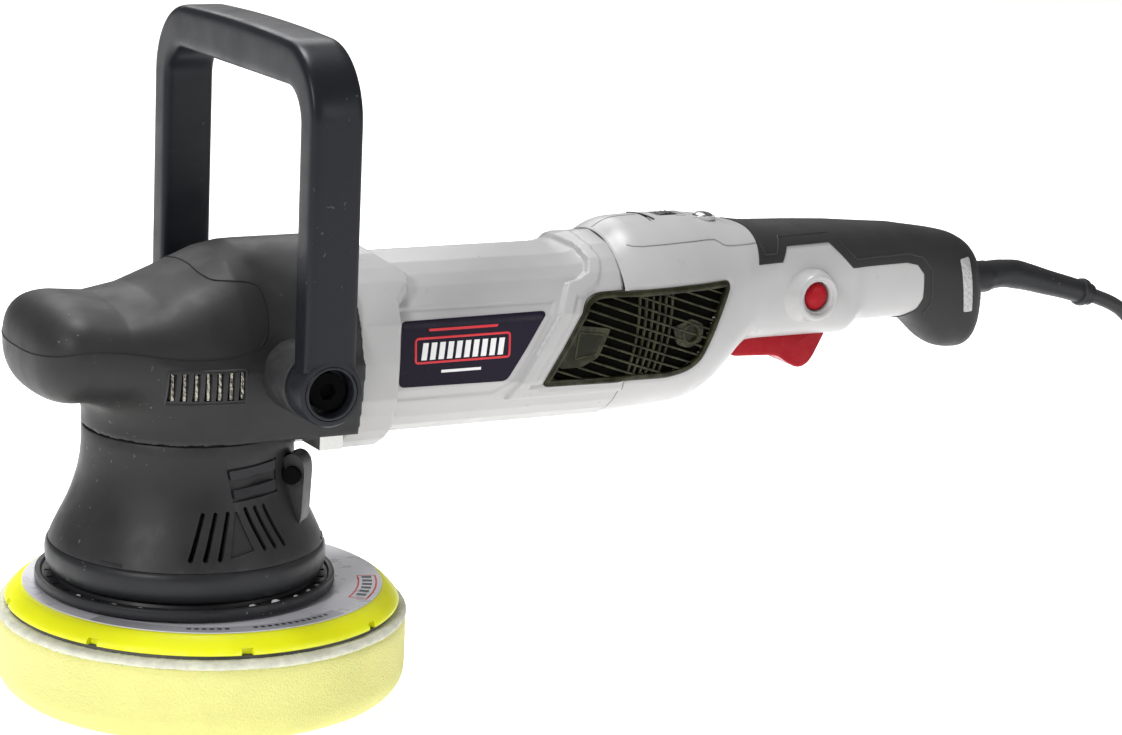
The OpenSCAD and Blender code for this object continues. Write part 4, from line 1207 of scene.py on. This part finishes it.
def make_labels():
    """The side plates, with a plain frame and bars in place of their print."""
    for s, word in SIDES:
        outline = rounded_profile([(71.8, 144.4), (71.4, 119.0), (117.6, 118.4), (134.4, 144.8)], 2.4, 4)
        plate = make(f"label_plate_{word}", *laid(outline, housing_y, s, 0.28, 0.6))
        dress(plate, "base", "side_label", sharp=60)
        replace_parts(plate, f"side_label_{word}")
        border = rounded_profile([(77.4, 138.0), (77.6, 127.8), (118.4, 127.8), (118.4, 138.0)], 1.6, 3)
        marks = [frame_strip(border, housing_y, s, [(-0.1, 0.26), (0.0, 0.36), (0.75, 0.36), (0.85, 0.26)])]
        marks.append(laid([(83, 141.2), (83.6, 140.2), (112.4, 140.2), (113, 141.2)], housing_y, s, 0.34, 0.1))
        dress(joined(f"label_red_{word}", marks), "base", "side_label", "print_red", sharp=60)
        white = []
        for k in range(10):
            x = 80.2 + 3.62 * k
            bar = [(x, 129.2), (x + 2.3, 129.2), (x + 3.1, 135.8), (x + 0.8, 135.8)]
            white.append(laid(bar, housing_y, s, 0.35, 0.1))
        white.append(laid([(89, 124.9), (89, 123.8), (106, 123.8), (106, 124.9)], housing_y, s, 0.34, 0.1))
        dress(joined(f"label_white_{word}", white), "base", "side_label", "print_white", sharp=60)


make_housing()
make_labels()

# ---------- rear handle ----------

# x, half width, lowest, highest, squareness of the section
HANDLE = np.array([
    (170.2, 35.8, 95, 169.2, 2), (172.5, 35.8, 95.1, 170.7, 2.02), (176, 35.8, 95.2, 172.6, 2.04),
    (180, 35.8, 95.4, 173.6, 2.06), (190, 35.2, 96, 174, 2.1), (206, 33.2, 97.2, 174, 2.2),
    (214, 31.2, 99.6, 173.6, 2.25), (220, 29.6, 103.4, 173, 2.3), (226, 28, 109.6, 171.8, 2.4),
    (231, 27, 116, 170.6, 2.5), (236, 25.6, 120.2, 169.4, 2.6), (241, 24.6, 121, 168.6, 2.75),
    (246, 23.6, 121.2, 168, 2.9), (268, 22, 121, 167.4, 2.9), (287, 20.6, 120.6, 166.5, 2.9),
    (289.5, 19.8, 122.2, 166.3, 2.8), (292, 19.2, 124.6, 166.2, 2.7), (296, 18.7, 125, 165.9, 2.6),
    (316, 17, 125, 164.4, 2.5), (322, 16.7, 124.4, 163.4, 2.5), (326, 16.6, 122.4, 162.8, 2.5),
    (330, 16.6, 118.8, 162.2, 2.5), (335, 16.6, 114.2, 161.4, 2.5), (340, 16.4, 111.2, 160.4, 2.5),
    (345, 16.1, 110.2, 159.2, 2.5), (351, 15.2, 110, 156.2, 2.5), (355, 13.4, 111.0, 152.6, 2.4),
    (358, 10.6, 114, 148, 2.3), (360, 6.5, 120, 141, 2.1)])
RUBBER = [(238.4, 192), (237, 164.5), (235.8, 155.6), (248.2, 155.6), (251.4, 161.6), (273.2, 161.8), (284.4, 150.8),
          (313.6, 150.8), (319.6, 149.4), (323.2, 145.2), (324, 134.6), (322.4, 129.6), (319.0, 126.6),
          (317.4, 124.0), (318, 96), (384, 96), (384, 192)]
EMBOSS = [(238, 164), (239.6, 159.2), (245.8, 159.2), (249.0, 165.2), (274.6, 165.2), (286.2, 154.4),
          (315.0, 154.4), (322.4, 152.4), (327.2, 146.8), (328, 133.4), (326.0, 127.6)]
HANDLE_WALL = 2.4
RUBBER_LIFT = 0.4
TOP_SEAM = [(176, 166.2), (182, 165.6), (212.6, 166.4), (217.6, 165.6), (221.5, 163.8), (232.4, 163.6),
            (236.6, 163.8)]
BUTTON_AT = (264.0, 141.0)


def handle_row(x):
    return [np.interp(x, HANDLE[:, 0], HANDLE[:, k]) for k in range(1, 5)]


def handle_smooth(x, w=1.6):
    """Half width, lowest, highest and squareness, averaged over a short stretch."""
    offsets = (-w, -0.5 * w, 0, 0.5 * w, w)
    rows = [handle_row(np.clip(np.asarray(x) + o, 170.2, 360)) for o in offsets]
    return [sum(r[k] for r in rows) / len(rows) for k in range(4)]


def handle_y(x, z, grow=0.0):
    hw, low, top, e = handle_smooth(x)
    mid, h = (low + top) / 2, (top - low) / 2 + grow
    u = np.clip(np.abs(z - mid) / h, 0, 0.9999)
    return (hw + grow) * (1 - u ** e) ** (1 / e)


def skin_y(x, z):
    """The side surface across the joint between the housing and the handle."""
    x = np.asarray(x, float)
    t = step_up(x, 165, 176)
    return housing_y(np.minimum(x, 169), z) * (1 - t) + handle_y(np.maximum(x, 171), z) * t


def handle_grid(grow, xs, n=300):
    """Rings of points round the handle at each x."""
    hw, low, top, e = handle_smooth(xs)
    t = SPIN * (np.arange(n) + 0.5) / n
    c, s = np.cos(t)[None], np.sin(t)[None]
    power = 2 / e[:, None]
    y = (hw + grow)[:, None] * np.sign(c) * np.abs(c) ** power
    z = ((low + top) / 2)[:, None] + ((top - low) / 2 + grow)[:, None] * np.sign(s) * np.abs(s) ** power
    return np.stack([np.broadcast_to(xs[:, None], y.shape), y, z], -1)


def make_shells():
    xs = np.concatenate([[170.2, 170.4, 170.8], np.arange(171.5, 359.4, 0.9), [359.6, 360.0]])
    P = handle_grid(0.0, xs)
    m, n = P.shape[:2]
    edge = 0.25 * (1 - step_up(P[..., 0], 170.2, 170.8))
    P[..., 1] *= 1 - edge / 36
    P[..., 2] = MOTOR_Z + (P[..., 2] - MOTOR_Z) * (1 - edge / 36)
    pocket = signed(GRILLE, P[..., 0], P[..., 2])
    lip = 0.5 * step_up(-pocket, -1.6, -0.6) * (np.abs(P[..., 1]) > 12)
    P[..., 1] -= np.sign(P[..., 1]) * lip
    gone = (signed(GRILLE_HOLE, P[..., 0], P[..., 2]) < 0) & (np.abs(P[..., 1]) > 12)
    pts = P.reshape(-1, 3)
    halves = []
    for s, word in SIDES:
        faces = []
        for k in range(m - 1):
            for i in range(n):
                j = (i + 1) % n
                mean_y = P[k, i, 1] + P[k, j, 1]
                if mean_y * s <= 0 or (gone[k, i] and gone[k, j] and gone[k + 1, i] and gone[k + 1, j]):
                    continue
                faces.append((k * n + i, k * n + j, (k + 1) * n + j, (k + 1) * n + i))
        obj = make(f"handle_shell_{word}", pts, faces)
        bm = bmesh.new()
        bm.from_mesh(obj.data)
        bmesh.ops.delete(bm, geom=[v for v in bm.verts if not v.link_faces], context="VERTS")
        bm.to_mesh(obj.data)
        bm.free()
        halves.append(obj)
    for obj, (_, word) in zip(halves, SIDES):
        wall = obj.modifiers.new("wall", "SOLIDIFY")
        wall.thickness = HANDLE_WALL * MM
        wall.offset = -1
        applied(obj)
        tools = [box_part((198.6, -4.2, 160), (211.4, 4.2, 190)), box_part((229.5, -11, 90), (282.5, 11, 128)),
                 box_part((192.6, -9, 170.6), (193.8, 9, 180))]
        boolean(obj, joined("cuts", tools))
        dress(obj, "base", "housing", sharp=35)
        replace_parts(obj, f"handle_{word}")


def rubber_y(x, z):
    return handle_y(x, z, RUBBER_LIFT)


def make_grip():
    xs = np.concatenate([np.arange(230, 359.3, 1.0), [359.6, 360.2]])
    G = handle_grid(RUBBER_LIFT, xs, 220)
    skin = make("rubber_grip", G.reshape(-1, 3), band(*G.shape[:2]))
    prism = resample(RUBBER, 6, True)
    pts = [(x, y, z) for y in (-45, 45) for x, z in prism]
    boolean(skin, make("prism", pts, band(2, len(prism))), "INTERSECT")
    dress(skin, "base", "soft_grip", sharp=50)
    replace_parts(skin, "overmold")

    seams = []
    emboss = []
    for s, _ in SIDES:
        seams.append(sweep(line_on(handle_y, [tuple(p) for p in smooth_line(TOP_SEAM, 3)], s, 0.02), 0.24, 6))
        emboss.append(sweep(line_on(rubber_y, EMBOSS, s, -0.05), 0.42, 6))
    for row, end in ((2, 192), (1, 229)):
        middle = [(x, 0, float(handle_smooth(np.array([x]))[row][0])) for x in np.arange(171, end, 2)]
        seams.append(sweep(middle, 0.2, 6))
    dress(joined("handle_joints", seams), "base", "housing", "seam_grey", sharp=80)
    dress(joined("grip_emboss", emboss), "base", "soft_grip", "emboss", sharp=80)
    for s, word in SIDES:
        outline = rounded_profile([(342.6, 150.2), (345.2, 127.6), (350.0, 127.6), (348.0, 150.8)], 0.8, 2)
        strip = make(f"reflector_strip_{word}", *laid(outline, rubber_y, s, 0.3, 0.5, 1.2))
        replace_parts(dress(strip, "base", "reflector", sharp=60), f"reflector_{word}")


make_shells()
make_grip()

# ---------- grilles ----------


def clip_to(poly, p, d):
    """The stretch of a line inside an outline."""
    hits = []
    for i in range(len(poly)):
        a, b = np.array(poly[i]), np.array(poly[(i + 1) % len(poly)])
        e = b - a
        det = d[0] * -e[1] + d[1] * e[0]
        if abs(det) < 1e-9:
            continue
        q = a - p
        t = (q[0] * -e[1] + q[1] * e[0]) / det
        u = (d[0] * q[1] - d[1] * q[0]) / det
        if 0 <= u <= 1:
            hits.append(t)
    return (min(hits), max(hits)) if len(hits) >= 2 else None


GRILLE_MID = np.array([176.0, 132.0])
SLAT_PITCH = 3.75
SCREW_X, SCREW_Z = 200.0, 131.4
RAIL_WAY = np.array([0.12, 0.99])


def make_grilles():
    outline = rounded_profile(GRILLE, 3.2, 4)
    inner = [tuple(p) for p in inset(GRILLE, 1.6)]
    lean = math.radians(-19)
    d = np.array([math.cos(lean), math.sin(lean)])
    across = np.array([-d[1], d[0]])
    edge = [(-0.3, -2.8), (-0.3, 0.2), (0.0, 0.7), (0.5, 0.95), (1.5, 0.9), (2.1, 0.4), (2.2, -2.6)]
    for s, word in SIDES:
        parts = [frame_strip(outline, skin_y, s, edge)]
        for k in range(-12, 13):
            start = GRILLE_MID + across * SLAT_PITCH * k
            span = clip_to(inner, start, d)
            if span is None or span[1] - span[0] < 3:
                continue
            line = np.array([start + d * t for t in np.linspace(span[0], span[1], 16)])
            Y = skin_y(line[:, 0], line[:, 1])
            pts = []
            for (x, z), y in zip(line, Y):
                for w, h in ((-0.6, -2.6), (-0.4, -0.5), (-0.15, -0.25), (0.25, -0.25), (0.45, -0.5), (0.6, -2.6)):
                    pts.append((x + across[0] * w, s * (y + h), z + across[1] * w))
            parts.append((pts, band(len(line), 6)))
        pad = rounded_profile([(139.6, 124.4), (147.6, 138.4), (162.4, 136.2), (157.2, 125.0), (150, 121.6),
                               (140.6, 121.6)], 1.2, 3)
        parts.append(laid(pad, skin_y, s, 0.0, 2.6))
        inner_pad = rounded_profile([(147.8, 136.2), (160.4, 134.4), (156.4, 126.2), (146.4, 124.6)], 1.0, 3)
        parts.append(frame_strip(inner_pad, skin_y, s, [(0, 0), (0.2, 0.35), (0.7, 0.35), (0.9, 0)]))
        for x in np.arange(174, 192, 3.0):
            start = np.array([x, 130.0])
            span = clip_to(inner, start, RAIL_WAY)
            rail = [start + RAIL_WAY * t for t in np.linspace(span[0], span[1], 14)]
            parts.append(sweep(line_on(skin_y, rail, s, -1.5), 0.65, 6))
        boss = rounded_profile([(191.0, 134.6), (200.0, 137.6), (206.4, 134.6), (206.0, 128.0), (200.0, 125.4),
                                (193.6, 127.4)], 1.8, 3)
        parts.append(laid(boss, skin_y, s, -0.9, 1.6))
        y0 = float(skin_y(np.array([SCREW_X]), np.array([SCREW_Z]))[0])
        prof = [(3.1, -2.4), (4.5, -2.4), (4.5, -0.4), (4.1, 0.0), (3.4, 0.0), (3.1, -0.4)]
        parts.append(lathe([(r, s * (y0 + h)) for r, h in prof], 48, "y", (SCREW_X, 0, SCREW_Z)))
        obj = dress(joined(f"grille_{word}", parts), "base", "grille", sharp=45)
        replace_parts(obj, f"vent_grille_{word}")
        # painted shade: a near-black sheet under the grille and a disc inside the screw's ring, standing in for the
        # shade inside the housing
        y = y0 - 1.9
        plug = [(0.01, s * (y - 0.4)), (3.4, s * (y - 0.4)), (3.4, s * y), (0.01, s * y)]
        parts = [laid(inset(GRILLE, 0.8), skin_y, s, -2.0, 0.5, 2.5), lathe(plug, 40, "y", (SCREW_X, 0, SCREW_Z))]
        dress(joined(f"grille_back_{word}", parts), "base", "grille", "grille_painted_shade", sharp=60)


make_grilles()

# ---------- controls ----------


SCREW_AT = (219.5, -5.0, 0)
DIAL_X, DIAL_Z, DIAL_R = 205, 164, 10.3
RIDGES = 30


def make_button():
    bx, bz = BUTTON_AT
    y0 = float(handle_y(np.array([bx]), np.array([bz]))[0])
    collar = [(6.2, -2), (11.4, -1.0), (10.2, 1.6), (9.7, 4.2), (9.2, 5.0), (8.2, 5.2), (7.4, 4.8), (6.9, 4.0),
              (6.2, 3.6)]
    parts = [lathe(rounded_profile([(r, -(y0 + h)) for r, h in collar], 0.5, 2), 96, "y", (bx, 0, bz))]
    n = 64
    pts = []
    rows = [(9.4, 4.9, 0.0), (10.0, 3.6, -0.4), (10.9, 1.8, -1.2), (11.8, 0.5, -2.0), (12.6, -0.4, -2.4)]
    for r, h, shift in rows:
        for i in range(n):
            a = SPIN * i / n
            x = bx + shift + r * math.cos(a) * (1.0 if math.cos(a) < 0 else 0.9 + 0.1 * (r == 9.4))
            z = bz + (r * 0.93) * math.sin(a)
            y = float(handle_y(np.array([x]), np.array([z]))[0])
            pts.append((x, -(y + (h if h < 4 else y0 + h - y)), z))
    parts.append((pts, band(len(rows), n, True, False)))
    dress(joined("button_surround", parts), "base", "housing", sharp=45)
    dome = [(0.01, y0 + 3.9), (2.4, y0 + 3.75), (4.2, y0 + 3.3), (5.2, y0 + 2.7), (5.7, y0 + 1.9), (5.7, 15.5),
            (0.01, 15.5)]
    button = make("button_cap", *lathe([(r, -y) for r, y in dome], 64, "y", (bx, 0, bz)))
    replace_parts(dress(button, "lock_button", "red", sharp=60), "lock_button")


def make_trigger():
    side = [(231.0, 117.0), (236.4, 114.2), (255, 113.4), (258.6, 112.6), (263.0, 109.6), (267.2, 107.4),
            (270.6, 107.4), (273.6, 109.2), (276.0, 112.6), (280.6, 121.4), (280.6, 126), (232, 125.6)]
    loop = rounded_profile(side, 1.6, 4)
    rows = [(-9.0, 1.4), (-8.7, 0.6), (-8.0, 0.0), (8.0, 0.0), (8.7, 0.6), (9.0, 1.4)]
    pts = [(x, y, z) for y, d in rows for x, z in inset(loop, d)]
    trigger = dress(make("trigger_paddle", pts, band(len(rows), len(loop))), "trigger", "red", sharp=40)
    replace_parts(trigger, "trigger")


def make_top():
    """The screw, the dial's window and the slit on top of the handle."""
    top = float(handle_smooth(np.array([SCREW_AT[0]]))[2][0])
    head = [(0.01, -3), (4.3, -3), (4.3, 0.1), (3.9, 0.9), (2.9, 1.4), (1.4, 1.6), (0.01, 1.65)]
    screw = make("housing_screw", *lathe([(r, top + h) for r, h in head], 48, "z", SCREW_AT))
    for low, high in (((219.1, -9, top + 0.5), (219.9, -1, top + 3)),
                      ((215.5, -5.4, top + 0.5), (223.5, -4.6, top + 3))):
        boolean(screw, make("slot", *box_part(low, high)))
    dress(screw, "base", "steel", sharp=45)
    rim = [(4.3, -1), (5.4, -1), (5.2, 0.3), (4.7, 0.45), (4.3, 0.2)]
    ring = lathe([(r, top + h) for r, h in rim], 48, "z", SCREW_AT)
    dial_top = float(handle_smooth(np.array([float(DIAL_X)]))[2][0])
    window = rounded_profile([(198.0, -4.8), (212.0, -4.8), (212.0, 4.8), (198.0, 4.8)], 1.2, 3)
    pts = []
    for d, h in ((-0.2, -1.2), (-0.1, 0.25), (0.5, 0.3), (0.8, -0.6)):
        pts += [(x, y, dial_top - 0.02 * y * y + h) for x, y in inset(window, d)]
    dress(joined("top_trim", [ring, (pts, band(4, len(window), True, False))]), "base", "housing", sharp=50)
    run = zip(np.linspace(191.8, 195.0, 12), np.linspace(8, -8, 12))
    slit = [(x, y, dial_top - 0.012 * y * y - 0.1) for x, y in run]
    dress(joined("top_slit", [sweep(slit, 0.55, 8)]), "base", "housing", "seam_and_shade", sharp=80)


def make_ridges():
    ridges = []
    for k in range(RIDGES):
        a = SPIN * k / RIDGES
        x, z = DIAL_X + DIAL_R * math.cos(a), DIAL_Z + DIAL_R * math.sin(a)
        ridges.append(sweep([(x, -2.3, z), (x, 2.3, z)], 0.45, 6))
    dress(joined("dial_ridges", ridges), "speed_dial", "switch", sharp=60)


make_button()
make_trigger()
make_top()
make_ridges()

# ---------- the CAD parts that are seen as they are ----------

SLOT_OF = {p["node"]: p["material_slot"] for p in frame["record"]["subparts"]}
for name, part in NODES.items():
    slot = SLOT_OF[name]
    part.data.materials.clear()
    # the handle bolts and the clamp screw get the near-black bolt look, painted shade for their deep holes
    part.data.materials.append(MAT["bolt" if name.startswith(("handle_bolt", "clamp_screw")) else slot])

# ---------- floor and light ----------

FLOOR = material("floor", (0.93, 0.93, 0.93), 0.75, tone=0.008, blotch=3, grain=300, bump=0.01, spec=0.15)
FLOOR_SHADER = FLOOR.node_tree.nodes["Principled BSDF"]
FLOOR_SHADER.inputs["Emission Color"].default_value = (1, 1, 1, 1)
FLOOR_SHADER.inputs["Emission Strength"].default_value = 0.72
FLOOR_R = 8             # metres
FLOOR_Z = -0.0004
# name, place, aim, size and power; metres and watts
LAMPS = (("key", (-1.4, -0.8, 1.1), (0.1, 0, 0.1), 0.5, 17), ("top", (0.1, 0.4, 1.8), (0.15, 0, 0.1), 0.7, 27),
         ("side", (1.1, -1.8, 0.6), (0.15, 0, 0.1), 0.7, 6), ("back", (0.5, 1.7, 1.4), (0.1, 0, 0.1), 1.2, 12))


def make_stage():
    mesh = bpy.data.meshes.new("floor")
    rings = 48
    turns = [SPIN * k / rings for k in range(rings)]
    pts = [(FLOOR_R * math.cos(a), FLOOR_R * math.sin(a), FLOOR_Z) for a in turns]
    mesh.from_pydata(pts, [], [tuple(range(rings))])
    floor = linked(bpy.data.objects.new("floor", mesh))
    mesh.materials.append(FLOOR)
    world = bpy.data.worlds.new("studio")
    world.use_nodes = True
    t = world.node_tree
    shade = t.nodes["Background"]
    shade.inputs["Color"].default_value = (1, 1, 1, 1)
    seen = t.nodes.new("ShaderNodeLightPath").outputs["Is Camera Ray"]
    t.links.new(ranged(t, seen, 0, 1, 0.16, 1.1), shade.inputs["Strength"])
    bpy.context.scene.world = world
    for name, at, aim, size, power in LAMPS:
        lamp = bpy.data.lights.new(name, "AREA")
        lamp.shape = "DISK"
        lamp.size = size
        lamp.energy = power
        obj = linked(bpy.data.objects.new(name, lamp))
        obj.location = at
        obj.rotation_euler = (Vector(aim) - Vector(at)).to_track_quat("-Z", "Y").to_euler()
    bpy.context.scene.view_settings.view_transform = "Standard"


make_stage()
